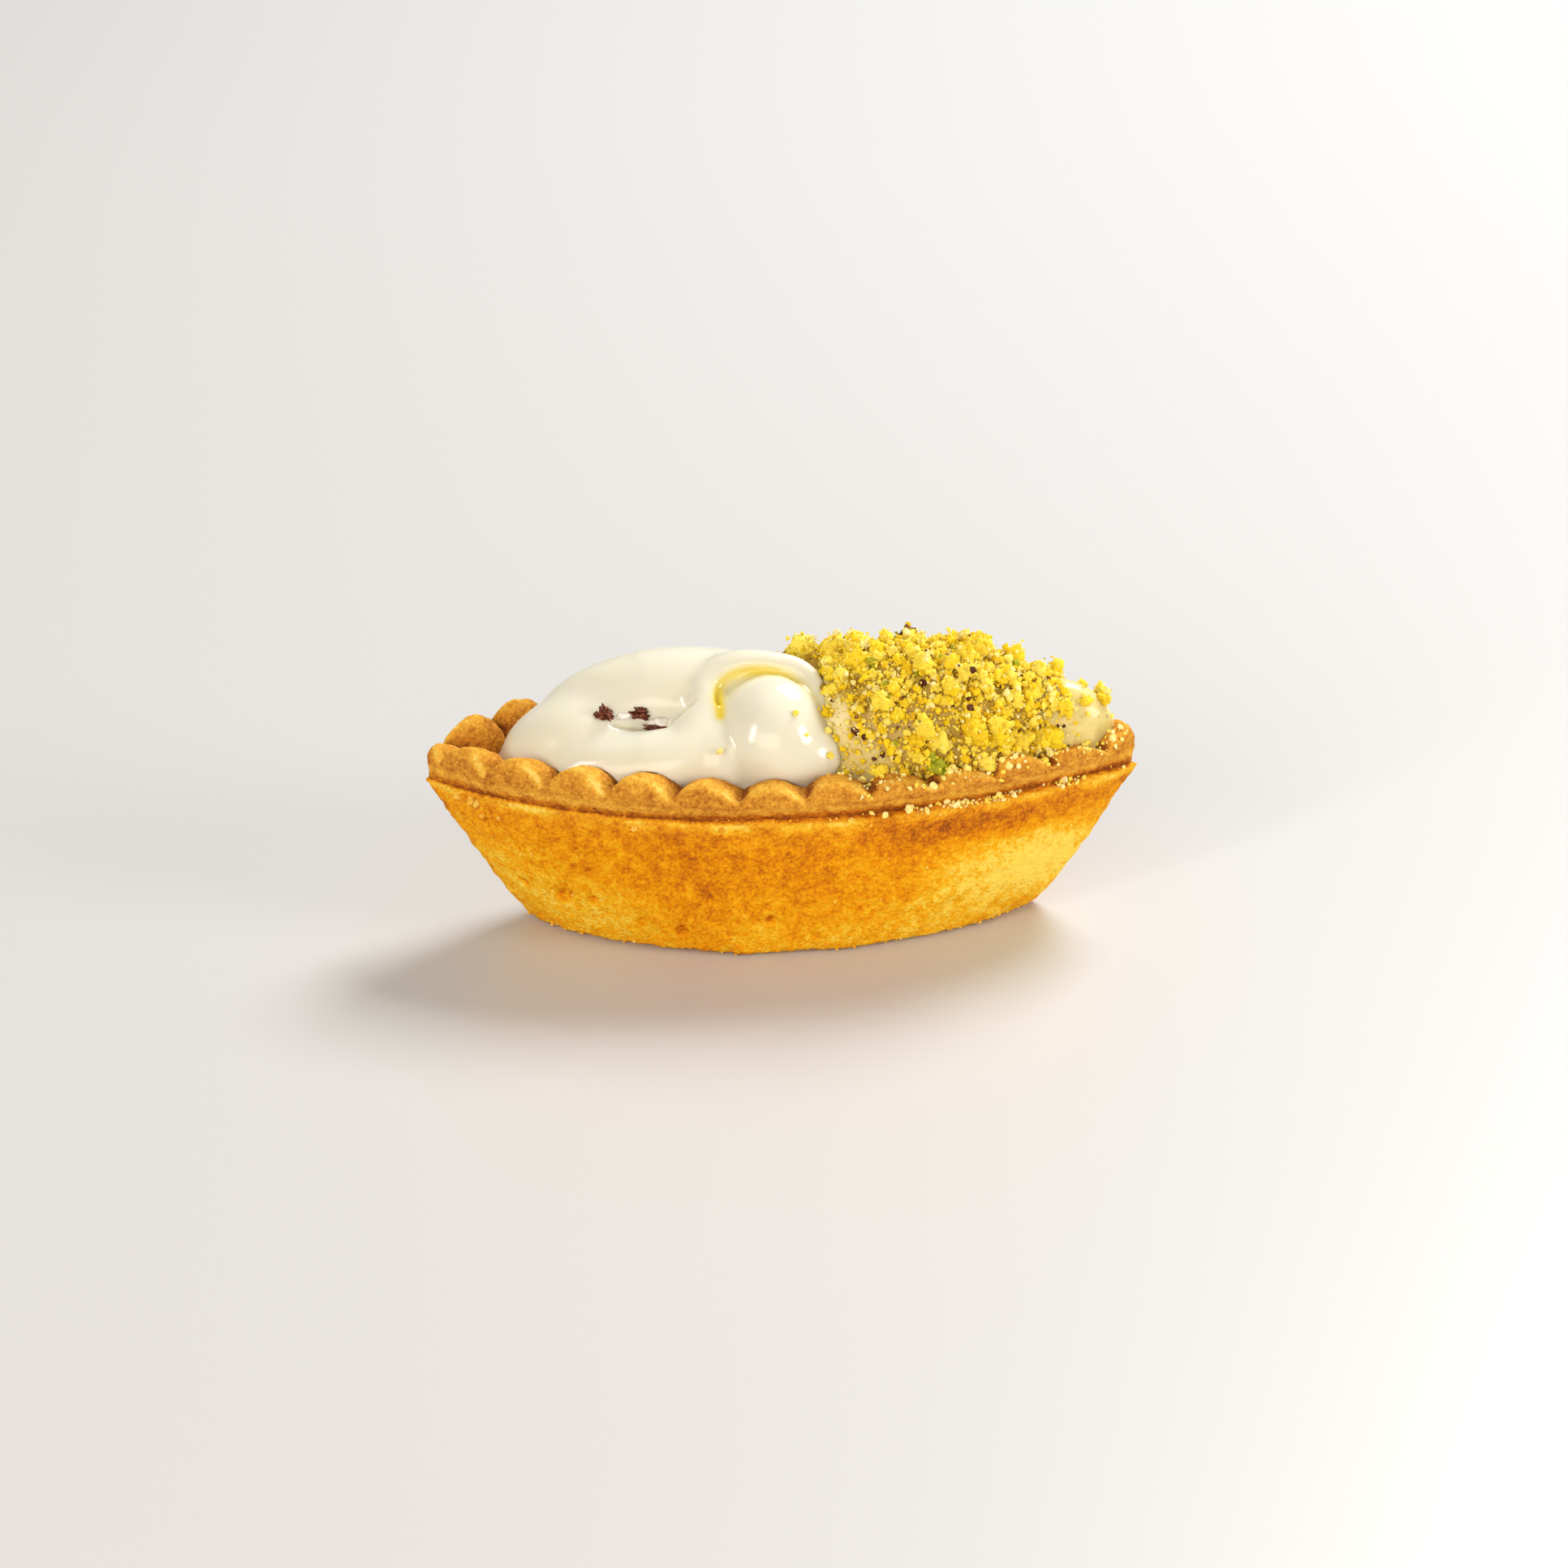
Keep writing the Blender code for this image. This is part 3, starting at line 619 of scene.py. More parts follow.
def add_math(nodes, links, operation, first, second):
    """Maths node on two values or sockets."""
    node = nodes.new("ShaderNodeMath")
    node.operation = operation
    for socket, value in zip(node.inputs, (first, second)):
        if isinstance(value, bpy.types.NodeSocket):
            links.new(value, socket)
        else:
            socket.default_value = value
    return node.outputs[0]


def add_noise(nodes, links, size, detail=2.0):
    """Noise on Object coordinates with features of a size in metres."""
    place = nodes.new("ShaderNodeTexCoord")
    texture = nodes.new("ShaderNodeTexNoise")
    texture.inputs["Scale"].default_value = 1 / size
    texture.inputs["Detail"].default_value = detail
    links.new(place.outputs["Object"], texture.inputs["Vector"])
    return texture.outputs["Fac"]


def add_attribute(nodes, name):
    node = nodes.new("ShaderNodeAttribute")
    node.attribute_name = name
    return node.outputs["Fac"]


def add_mix(nodes, links, share, first, second):
    """Mix of two colours."""
    node = nodes.new("ShaderNodeMixRGB")
    for socket, value in zip(node.inputs, (share, first, second)):
        links.new(value, socket)
    return node.outputs["Color"]


grain_group = make_grain_group()
crust, nodes, links, shader = new_material("baked shortcrust", (0.7, 0.3, 0.03), 0.75)
shader.inputs["Specular IOR Level"].default_value = 0.08
# The browning attribute carries painted light and shade as well as browning
brown = add_attribute(nodes, "browning")
patches = add_math(nodes, links, "SUBTRACT", add_noise(nodes, links, 9 * MM, 3.0), 0.5)
brown = add_math(nodes, links, "ADD", brown, add_math(nodes, links, "MULTIPLY", patches, 0.4))
mottles = add_math(nodes, links, "SUBTRACT", add_noise(nodes, links, 1.5 * MM, 4.0), 0.5)
brown = add_math(nodes, links, "ADD", brown, add_math(nodes, links, "MULTIPLY", mottles, 0.75))
grain = add_grain(nodes, 0.5)
speckle = add_math(nodes, links, "SUBTRACT", grain.outputs["Speckle"], 0.5)
brown = add_math(nodes, links, "ADD", brown, add_math(nodes, links, "MULTIPLY", speckle, 1.1))
hull_colour = add_ramp(nodes, links, brown, [
    (0.05, (0.97, 0.70, 0.10)),
    (0.28, (0.90, 0.48, 0.012)),
    (0.52, (0.84, 0.32, 0.002)),
    (0.75, (0.62, 0.18, 0.004)),
    (1.00, (0.30, 0.07, 0.008)),
])
rim_colour = add_ramp(nodes, links, brown, [
    (0.05, (0.96, 0.70, 0.17)),
    (0.28, (0.90, 0.50, 0.06)),
    (0.55, (0.74, 0.33, 0.035)),
    (0.78, (0.52, 0.19, 0.02)),
    (1.00, (0.26, 0.07, 0.01)),
])
colour = add_mix(nodes, links, add_attribute(nodes, "tan"), hull_colour, rim_colour)
links.new(colour, shader.inputs["Base Color"])
add_bump(nodes, links, shader, grain.outputs["Height"], 0.3 * MM)
shell = add_object("pastry_shell", shell_mesh, crust)
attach(shell, "root")
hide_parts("shell")


# White cream
# Smooth whipped cream, piped as a thick rope into the boat's left half. The rope runs along the front,
# turns up and folds over a round thumb of cream, in front of a dome with a pit.
SPLIT_FRONT = 7.8 * MM
SPLIT_CURVE = 80.0
SPLIT_BEND_FROM = -3.0 * MM
TALL = 60 * MM
CREAM_LEVEL = 23.0 * MM
CREAM_VOXEL = 0.32 * MM
CREAM_GAP = 0.04 * MM
SKIN_ROUNDS = 3
# Round masses of cream: centre and radii in millimetres
WHITE_DOME = ((-12.6, 4.0, 25.0), (19.8, 7.8, 11.7))
WHITE_TAIL = ((-24.5, 0.6, 22.5), (12.0, 7.8, 9.5))
WHITE_THUMB = ((-0.8, -2.4, 26.8), (7.9, 8.6, 8.4))
WHITE_FOOT = ((0.4, -4.0, 25.6), (8.7, 7.2, 5.8))
WHITE_JOIN = ((-8.6, -5.0, 23.4), (6.4, 5.4, 7.6))
WHITE_PIT = ((-16.6, -3.4, 29.9), (5.4, 1.3, 1.2))
# Ropes and hollows of cream: x, y, z and radius in millimetres
WHITE_ROPE = [
    (-30.0, -1.5, 22.0, 4.2),
    (-26.0, -3.8, 23.6, 4.8),
    (-18.0, -6.0, 24.6, 4.8),
    (-12.0, -5.6, 26.0, 4.6),
    (-9.6, -2.2, 29.8, 3.7),
    (-8.6, 0.7, 33.3, 2.7),
    (-4.8, 1.5, 35.6, 1.9),
    (1.0, 1.2, 35.3, 1.65),
    (3.8, 0.2, 34.5, 1.45),
    (5.2, -1.4, 33.0, 1.25),
    (5.9, -3.2, 31.2, 1.1),
    (6.2, -4.8, 29.2, 0.8),
]
CRESCENT = [
    (-7.6, -4.6, 31.0, 0.25),
    (-7.7, -3.0, 32.9, 0.55),
    (-6.7, -1.4, 34.4, 0.75),
    (-4.4, -0.6, 35.2, 0.62),
    (-1.6, -0.5, 35.4, 0.45),
    (1.0, -0.9, 35.0, 0.36),
    (3.1, -2.0, 33.8, 0.32),
    (4.6, -3.6, 32.2, 0.28),
    (5.4, -5.0, 30.6, 0.2),
]
LIP_HOLLOW = [
    (-20.5, -4.2, 29.6, 0.3),
    (-17.0, -3.9, 29.8, 0.75),
    (-14.0, -3.6, 30.5, 0.85),
    (-11.9, -3.5, 31.8, 0.6),
    (-10.6, -3.4, 33.2, 0.3),
]
# Stretches where the masses melt together: rounds of smoothing, lowest and highest corner in millimetres
TAIL_REGION = (70, (-45, -12, 22), (-18, 15, 45))
VALLEY_REGION = (15, (-12, -14, 20), (-3, -6, 31))
PIT_BACK_REGION = (50, (-26, -3.0, 28), (-10, 3, 34))
OVER_SPLIT = 0.9 * MM
# Painted shade in the creases: rounds of smoothing and depth that measure them, and how strong the shade is
CREASE_ROUNDS, CREASE_DEPTH, CREASE_SHADE_SHARE = 8, 0.5 * MM, 0.4
# Reach of the painted yellow shade in the crevice under the fold
CREVICE_SHADE_REACH = 0.95 * MM


def blob(bm, centre, radii, segments=64):
    """Add a smooth round mass. Centre and radii are in millimetres."""
    verts = bmesh.ops.create_uvsphere(bm, u_segments=segments, v_segments=segments // 2, radius=MM)["verts"]
    bmesh.ops.scale(bm, vec=radii, verts=verts)
    bmesh.ops.translate(bm, vec=Vector(centre) * MM, verts=verts)


def smooth_path(points, steps):
    """Catmull-Rom curve through points of any number of coordinates."""
    path = []
    last = len(points) - 1
    for i in range(last):
        a, b, c, d = (np.array(points[max(0, min(last, i + k))]) for k in (-1, 0, 1, 2))
        for t in np.arange(steps) / steps:
            bend, twist = (2 * a - 5 * b + 4 * c - d) * t ** 2, (3 * b - a - 3 * c + d) * t ** 3
            path.append(0.5 * (2 * b + (c - a) * t + bend + twist))
    path.append(np.array(points[-1]))
    return path


def rope(points, sides=32, steps=10):
    """Bmesh of a piped rope along points of x, y, z and radius, in millimetres."""
    path = smooth_path(points, steps)
    centres = [Vector(p[:3]) * MM for p in path]
    rings = []
    up = Vector((0, 0, 1))
    for i, centre in enumerate(centres):
        ahead = centres[min(i + 1, len(centres) - 1)] - centres[max(i - 1, 0)]
        side = ahead.cross(up).normalized()
        up = side.cross(ahead).normalized()
        radius = float(path[i][3]) * MM
        rings.append([
            centre + radius * (math.cos(t) * side + math.sin(t) * up)
            for t in (2 * math.pi * k / sides for k in range(sides))
        ])
    return loft(rings)


def apply_modifiers(obj):
    """Replace an object's mesh by what its modifiers make of it."""
    bpy.context.view_layer.update()
    mesh = bpy.data.meshes.new_from_object(obj.evaluated_get(bpy.context.evaluated_depsgraph_get()))
    obj.modifiers.clear()
    obj.data = mesh


def temporary(bm, name):
    mesh = bpy.data.meshes.new(name)
    bm.to_mesh(mesh)
    bm.free()
    obj = bpy.data.objects.new(name, mesh)
    scene.collection.objects.link(obj)
    return obj


def cut(obj, bm, operation):
    """Boolean of an object with a bmesh, which is used up."""
    bmesh.ops.triangulate(bm, faces=bm.faces)
    cutter = temporary(bm, "cutter")
    modifier = obj.modifiers.new("cut", "BOOLEAN")
    modifier.operation = operation
    modifier.solver = "MANIFOLD"
    modifier.object = cutter
    apply_modifiers(obj)
    bpy.data.objects.remove(cutter, do_unlink=True)


def remesh(obj, voxel):
    """Melt overlapping forms into one skin."""
    modifier = obj.modifiers.new("melt", "REMESH")
    modifier.mode = "VOXEL"
    modifier.voxel_size = voxel
    apply_modifiers(obj)


def relax(obj, rounds, low=(-60, -60, -60), high=(60, 60, 60)):
    """Smooth a skin between two corners, given in millimetres."""
    bm = bmesh.new()
    bm.from_mesh(obj.data)
    verts = [vert for vert in bm.verts if all(a * MM < k < b * MM for a, k, b in zip(low, vert.co, high))]
    soften(bm, verts, rounds)
    bm.to_mesh(obj.data)
    bm.free()


def hollow_form():
    """Bmesh of everything inside the shell and straight above its hollow."""
    top = rim_ring(turns, math.pi / 2, CREAM_GAP)
    rings = [[Vector((p.x, p.y, TALL)) for p in top], top]
    rings += [rim_ring(turns, math.pi * share, CREAM_GAP) for share in (0.58, 0.66, 0.74, 0.82, 0.91, 1.0)]
    rings += [cavity_ring(turns, share, CREAM_GAP) for share in (0.5, 1.0)]
    return loft(rings)


def split_x(y):
    """Where the two creams meet: straight along the front, bent to the left at the back."""
    return SPLIT_FRONT - SPLIT_CURVE * max(0.0, y - SPLIT_BEND_FROM) ** 2


def side_form(side, shift=0.0):
    """Bmesh of a block on one side of the face between the creams: side -1 holds the white one."""
    steps, width = 40, 20 * MM
    ys = [mix(-width, width, i / steps) for i in range(steps + 1)]
    corners = [(split_x(y) + shift, y) for y in ys] + [(side * TALL, width), (side * TALL, -width)]
    return loft([[Vector((x, y, z)) for x, y in corners] for z in (-TALL, TALL)])


def level_form():
    """Bmesh of the level filling under the forms that stand above it."""
    corners = [(-TALL, -TALL), (TALL, -TALL), (TALL, TALL), (-TALL, TALL)]
    return loft([[Vector((x, y, z)) for x, y in corners] for z in (FLOOR_HEIGHT - MM, CREAM_LEVEL)])


def hollowness(obj, rounds, reach):
    """0 on flat and bulging skin, up to 1 in creases, as one value for each vertex."""
    bm = bmesh.new()
    bm.from_mesh(obj.data)
    bm.normal_update()
    before = [(vert.co.copy(), vert.normal.copy()) for vert in bm.verts]
    soften(bm, bm.verts, rounds, 0.7)
    raised = [(vert.co - co).dot(normal) / reach for vert, (co, normal) in zip(bm.verts, before)]
    bm.free()
    return [max(0.0, min(1.0, share)) for share in raised]


def make_cream(forms):
    """Object of a cream's forms on the level filling."""
    level = temporary(level_form(), "level")
    cut(level, hollow_form(), "INTERSECT")
    bm = bmesh.new()
    for add_form in forms:
        add_form(bm)
    bm.from_mesh(level.data)
    bpy.data.objects.remove(level, do_unlink=True)
    return temporary(bm, "cream")


def add_rope(points):
    def add(bm):
        piece = bpy.data.meshes.new("rope")
        made = rope(points)
        made.to_mesh(piece)
        made.free()
        bm.from_mesh(piece)
    return add


def add_blob(sizes):
    return lambda bm: blob(bm, *sizes)


def crevice_shade_along(obj, points, reach):
    """Painted shade along a hollow, as one value for each vertex: 1 along its start and less towards its end.
    """
    path = np.array(smooth_path(points, 8))[:, :3] * MM
    strength = np.linspace(1.0, 0.2, len(path))
    places = np.array([vert.co for vert in obj.data.vertices])
    far = np.linalg.norm(places[:, None, :] - path[None, :, :], axis=2)
    return (strength * np.exp(-(far / reach) ** 2)).max(axis=1)


white_masses = (WHITE_DOME, WHITE_TAIL, WHITE_THUMB, WHITE_FOOT, WHITE_JOIN)
white = make_cream([add_blob(sizes) for sizes in white_masses] + [add_rope(WHITE_ROPE)])
remesh(white, CREAM_VOXEL)
relax(white, SKIN_ROUNDS)
relax(white, *TAIL_REGION)
relax(white, *VALLEY_REGION)
pit = bmesh.new()
blob(pit, *WHITE_PIT)
for hollow in (pit, rope(CRESCENT), rope(LIP_HOLLOW)):
    cut(white, hollow, "DIFFERENCE")
remesh(white, CREAM_VOXEL)
relax(white, SKIN_ROUNDS)
relax(white, *PIT_BACK_REGION)
cut(white, hollow_form(), "INTERSECT")
cut(white, side_form(-1, OVER_SPLIT), "INTERSECT")
# Painted shade, yellowish, in the creases and in the crevice under the fold
creases = hollowness(white, CREASE_ROUNDS, CREASE_DEPTH)
# Painted yellow shade along the crevice under the fold
yellow = crevice_shade_along(white, CRESCENT, CREVICE_SHADE_REACH)
bm = bmesh.new()
bm.from_mesh(white.data)
white_mesh = finish_mesh(bm, "white_cream_swirl")
set_attribute(white_mesh, "crease", CREASE_SHADE_SHARE * np.array(creases) + yellow)

white_material, nodes, links, shader = new_material("white cream", (0.77, 0.74, 0.61), 0.16)
shader.inputs["Subsurface Weight"].default_value = 0.5
shader.inputs["Subsurface Radius"].default_value = (1.0, 0.8, 0.4)
shader.inputs["Subsurface Scale"].default_value = 1.3 * MM
clouds = add_math(nodes, links, "SUBTRACT", add_noise(nodes, links, 7 * MM), 0.5)
tone = add_math(nodes, links, "MULTIPLY", clouds, 0.2)
# The crease value is painted shade: the cream turns yellower in creases and most in the crevice under the
# fold
colour = add_ramp(nodes, links, add_math(nodes, links, "ADD", add_attribute(nodes, "crease"), tone), [
    (0.00, (0.77, 0.74, 0.61)),
    (0.20, (0.77, 0.72, 0.48)),
    (0.60, (0.82, 0.66, 0.10)),
    (1.00, (0.80, 0.58, 0.008)),
])
links.new(colour, shader.inputs["Base Color"])
add_bump(nodes, links, shader, add_noise(nodes, links, 2.5 * MM, 1.0), 0.15 * MM, 0.35)
white_cream = add_object("white_cream_swirl", white_mesh, white_material)
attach(white_cream, "root")
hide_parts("white_cream")


# Pistachio cream
# Beige-green cream piped as a mound into the boat's right half. It shows bare at its left face and at
# its right end, and the chopped nuts cover the rest.
PISTACHIO_FORMS = [
    ((18.0, 0.8, 24.5), (17.8, 10.2, 13.0)),
    ((5.5, 6.0, 26.0), (8.5, 5.2, 8.8)),
    ((28.0, 0.5, 25.0), (10.0, 6.8, 10.4)),
    ((35.2, 0.2, 25.0), (9.4, 4.7, 7.8)),
]
LEAN_OVER = -4.0 * MM  # how far it may lean over the split, up to the white cream
MOUND_ROUNDS = 12
# Where the cream shows bare, in millimetres: left of a slanted line in front, and beyond the heap's right end
BARE_HEIGHT, BARE_SLANT, BARE_LEFT = 31.5, 1.2, 10.0
BARE_FRONT = 2.0
HEAP_END = 32.0


def keep_largest(bm):
    """Drop loose scraps of a skin."""
    left, parts = set(bm.verts), []
    while left:
        part, edge = set(), [left.pop()]
        while edge:
            vert = edge.pop()
            part.add(vert)
            near = {side.other_vert(vert) for side in vert.link_edges} & left
            left -= near
            edge.extend(near)
        parts.append(part)
    parts.sort(key=len)
    bmesh.ops.delete(bm, geom=[vert for part in parts[:-1] for vert in part], context="VERTS")


pistachio = make_cream([add_blob(sizes) for sizes in PISTACHIO_FORMS])
remesh(pistachio, CREAM_VOXEL)
relax(pistachio, MOUND_ROUNDS)
cut(pistachio, hollow_form(), "INTERSECT")
cut(pistachio, side_form(1, LEAN_OVER), "INTERSECT")
neighbour = bmesh.new()
neighbour.from_mesh(white.data)
neighbour.normal_update()
for vert in neighbour.verts:
    vert.co += vert.normal * CREAM_GAP
cut(pistachio, neighbour, "DIFFERENCE")
bpy.data.objects.remove(white, do_unlink=True)
bm = bmesh.new()
bm.from_mesh(pistachio.data)
keep_largest(bm)
pistachio_mesh = finish_mesh(bm, "pistachio_cream_mound")
bpy.data.objects.remove(pistachio, do_unlink=True)


def bare_height(x):
    """Height in millimetres under which the mound's left face is bare."""
    return BARE_HEIGHT - BARE_SLANT * (x - BARE_LEFT)


# Painted shade on the cream under the heap, where it shows in the gaps between the nuts
under_nuts = []
for vert in pistachio_mesh.vertices:
    x, y, z = (vert.co + SHELL_MIDDLE) / MM
    covered = 1.0 if y > BARE_FRONT else bump(max(0.0, bare_height(x) + 0.6 - z), 0.0, 1.0)
    under_nuts.append(covered * bump(max(0.0, x - HEAP_END), 0.0, 2.0))
set_attribute(pistachio_mesh, "under_nuts", under_nuts)

pistachio_material, nodes, links, shader = new_material("pistachio cream", (0.76, 0.65, 0.27), 0.3)
shader.inputs["Subsurface Weight"].default_value = 0.3
shader.inputs["Subsurface Radius"].default_value = (1.0, 0.7, 0.3)
shader.inputs["Subsurface Scale"].default_value = 1.5 * MM
tone = add_math(nodes, links, "MULTIPLY", add_noise(nodes, links, 5 * MM, 3.0), 0.6)
# Under the nuts the cream is painted darker brown, as shade in the gaps between them
colour = add_ramp(nodes, links, add_math(nodes, links, "ADD", tone, add_attribute(nodes, "under_nuts")), [
    (0.15, (0.79, 0.66, 0.27)),
    (0.50, (0.71, 0.57, 0.19)),
    (1.00, (0.56, 0.37, 0.05)),
])
links.new(colour, shader.inputs["Base Color"])
add_bump(nodes, links, shader, add_noise(nodes, links, 1.5 * MM, 2.0), 0.12 * MM, 0.4)
pistachio_cream = add_object("pistachio_cream_mound", pistachio_mesh, pistachio_material)
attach(pistachio_cream, "root")
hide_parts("pistachio_cream")


# Chopped pistachios
# Rough lumps of chopped nuts with fine grains and meal clinging to them, heaped on the pistachio cream
# and spilled over the front of the rim. Most are yellow, a few are green or carry brown skin.
SHAPES_PER_KIND = 9
KNOBS_ACROSS, CRUMBS_ACROSS, SWELLS_ACROSS = 2.3, 4.5, 1.2  # how often each comes in a radius
SQUEEZE = (0.72, 1.15)


def rough_grains(kind, subdivisions, swell, knobs, seed):
    """Collection of rough grains of unit size, each with small knobs."""
    draw = random.Random(seed)
    collection = bpy.data.collections.new(kind)
    for number in range(SHAPES_PER_KIND):
        bm = bmesh.new()
        bmesh.ops.create_icosphere(bm, subdivisions=subdivisions, radius=1.0)
        offset = Vector([draw.uniform(-50, 50) for _ in range(3)])
        for vert in bm.verts:
            knob = 0.5 - noise.voronoi(vert.co * KNOBS_ACROSS + offset)[0][0]
            crumb = 0.25 * noise.noise(vert.co * CRUMBS_ACROSS + offset)
            vert.co *= 1 + swell * noise.noise(vert.co * SWELLS_ACROSS + offset) + knobs * knob + crumb
        bmesh.ops.scale(bm, vec=[draw.uniform(*SQUEEZE) for _ in range(3)], verts=bm.verts)
        mesh = bpy.data.meshes.new(f"{kind}_{number}")
        bm.to_mesh(mesh)
        bm.free()
        collection.objects.link(bpy.data.objects.new(mesh.name, mesh))
    return collection


def scatter_tree(collection):
    """Geometry nodes that put a grain on each point and make them one mesh."""
    tree = bpy.data.node_groups.new("scatter", "GeometryNodeTree")
    tree.interface.new_socket("Geometry", in_out="INPUT", socket_type="NodeSocketGeometry")
    tree.interface.new_socket("Geometry", in_out="OUTPUT", socket_type="NodeSocketGeometry")
    nodes, links = tree.nodes, tree.links
    start, end = nodes.new("NodeGroupInput"), nodes.new("NodeGroupOutput")
    grains = nodes.new("GeometryNodeCollectionInfo")
    grains.inputs["Collection"].default_value = collection
    grains.inputs["Separate Children"].default_value = True
    grains.inputs["Reset Children"].default_value = True
    place = nodes.new("GeometryNodeInstanceOnPoints")
    place.inputs["Pick Instance"].default_value = True
    for name, kind, socket in (("pick", "INT", "Instance Index"), ("size", "FLOAT", "Scale")):
        value = nodes.new("GeometryNodeInputNamedAttribute")
        value.data_type = kind
        value.inputs["Name"].default_value = name
        links.new(value.outputs["Attribute"], place.inputs[socket])
    spin = nodes.new("GeometryNodeInputNamedAttribute")
    spin.data_type = "FLOAT_VECTOR"
    spin.inputs["Name"].default_value = "spin"
    turn = nodes.new("FunctionNodeEulerToRotation")
    links.new(spin.outputs["Attribute"], turn.inputs[0])
    links.new(turn.outputs[0], place.inputs["Rotation"])
    joined = nodes.new("GeometryNodeRealizeInstances")
    links.new(start.outputs["Geometry"], place.inputs["Points"])
    links.new(grains.outputs["Instances"], place.inputs["Instance"])
    links.new(place.outputs["Instances"], joined.inputs["Geometry"])
    links.new(joined.outputs["Geometry"], end.inputs["Geometry"])
    return tree


def scatter(name, grains, points, sizes, tints, seed):
    """Mesh of grains at points, each with its size and tint."""
    draw = np.random.default_rng(seed)
    bm = bmesh.new()
    for point in points:
        bm.verts.new(point)
    mesh = bpy.data.meshes.new(name)
    bm.to_mesh(mesh)
    bm.free()
    set_attribute(mesh, "size", sizes)
    set_attribute(mesh, "tint", tints)
    pick = mesh.attributes.new("pick", "INT", "POINT")
    pick.data.foreach_set("value", draw.integers(len(grains.objects), size=len(points)).astype(np.int32))
    spin = mesh.attributes.new("spin", "FLOAT_VECTOR", "POINT")
    spin.data.foreach_set("vector", draw.uniform(0, 2 * math.pi, 3 * len(points)).astype(np.float32))
    obj = bpy.data.objects.new(name, mesh)
    scene.collection.objects.link(obj)
    modifier = obj.modifiers.new("scatter", "NODES")
    modifier.node_group = scatter_tree(grains)
    apply_modifiers(obj)
    made = obj.data
    bpy.data.objects.remove(obj, do_unlink=True)
    return made


def ordered_triangles(mesh):
    """Vertices of a mesh and the three corners of each triangle.

    Blender may list the faces in another order in each run, so they are put in one order here."""
    spots = np.empty(len(mesh.vertices) * 3, np.float32)
    mesh.vertices.foreach_get("co", spots)
    mesh.calc_loop_triangles()
    corners = np.empty(len(mesh.loop_triangles) * 3, np.int32)
    mesh.loop_triangles.foreach_get("vertices", corners)
    corners = corners.reshape(-1, 3)
    lowest_first = (corners.argmin(axis=1)[:, None] + np.arange(3)) % 3
    corners = np.take_along_axis(corners, lowest_first, axis=1)
    return spots.reshape(-1, 3), corners[np.lexsort(corners.T)]


def surface_points(mesh, tries, density, seed):
    """Points and normals at random on a mesh, kept as often as the density at them says."""
    draw = np.random.default_rng(seed)
    spots, corners = ordered_triangles(mesh)
    a, b, c = spots[corners].transpose(1, 0, 2)
    normals = np.cross(b - a, c - a)
    areas = np.linalg.norm(normals, axis=1)
    chosen = draw.choice(len(areas), size=tries, p=areas / areas.sum())
    u, v = np.sort(draw.random((2, tries)), axis=0)[..., None]
    points = a[chosen] * u + b[chosen] * (v - u) + c[chosen] * (1 - v)
    normals = normals[chosen] / areas[chosen][:, None]
    kept = draw.random(tries) < density(points + np.array(SHELL_MIDDLE), normals)
    return points[kept], normals[kept]


# Edges of the heap of nuts, in millimetres, and how much and how finely they wander
HEAP_RIGHT, HEAP_FOOT = 36.0, 24.0
WANDER, CLUSTER_SIZE = 5.0, 3 * MM
BEYOND_HEAP = 0.08


def heap_density(bare):
    """Density of nuts on the mound: 1 under the heap, and a share of it on the bare left face."""
    def density(points, normals):
        x, y, z = points.T / MM
        wobble = WANDER * np.array([noise.noise(Vector(point) / CLUSTER_SIZE) for point in points])
        dense = np.ones(len(x))
        dense[(z + wobble < bare_height(x)) & (y < BARE_FRONT)] = bare
        dense[x + 0.6 * wobble > HEAP_RIGHT] = BEYOND_HEAP
        dense[(z < HEAP_FOOT) | (normals[:, 2] < -0.2)] = 0.0
        return dense
    return density


SPILL_FROM, SPILL_GROWTH = 6.0, 14.0  # millimetres along the boat
ON_CRESTS, ON_LEDGE = 0.20, 0.35


def spill_density(points, normals):
    """Grains that fell on the front of the rim and on the ledge under it, at the right."""
    x, y, z = points.T / MM
    above_seam = z - (SEAM_HEIGHT - SEAM_FALL * x * MM / SEAM_HALF_LENGTH) / MM
    right = np.clip((x - SPILL_FROM) / SPILL_GROWTH, 0, 1)
    dense = np.zeros(len(x))
    clusters = np.array([noise.noise(Vector(point) / CLUSTER_SIZE) for point in points])
    dense[(above_seam > 2.0) & (normals[:, 2] > 0.0)] = ON_CRESTS
    ledge = (above_seam > -0.1) & (above_seam < 1.2) & (normals[:, 2] > 0.2)
    dense[ledge] = np.clip(ON_LEDGE + 2.2 * clusters[ledge], 0.05, 1.0)
    dense[y > 0] = 0.0
    return dense * right


DARK_TINTS = [0.02, 0.06, 0.10, 0.17]


def tints_for(count, draw, dark_share, low, high):
    """Tints of grains: 0 is brown skin, 0.2 is green and 1 is the palest yellow."""
    tints = mix(low, high, draw.random(count))
    dark = draw.random(count) < dark_share
    tints[dark] = draw.choice(DARK_TINTS, size=dark.sum())
    return tints


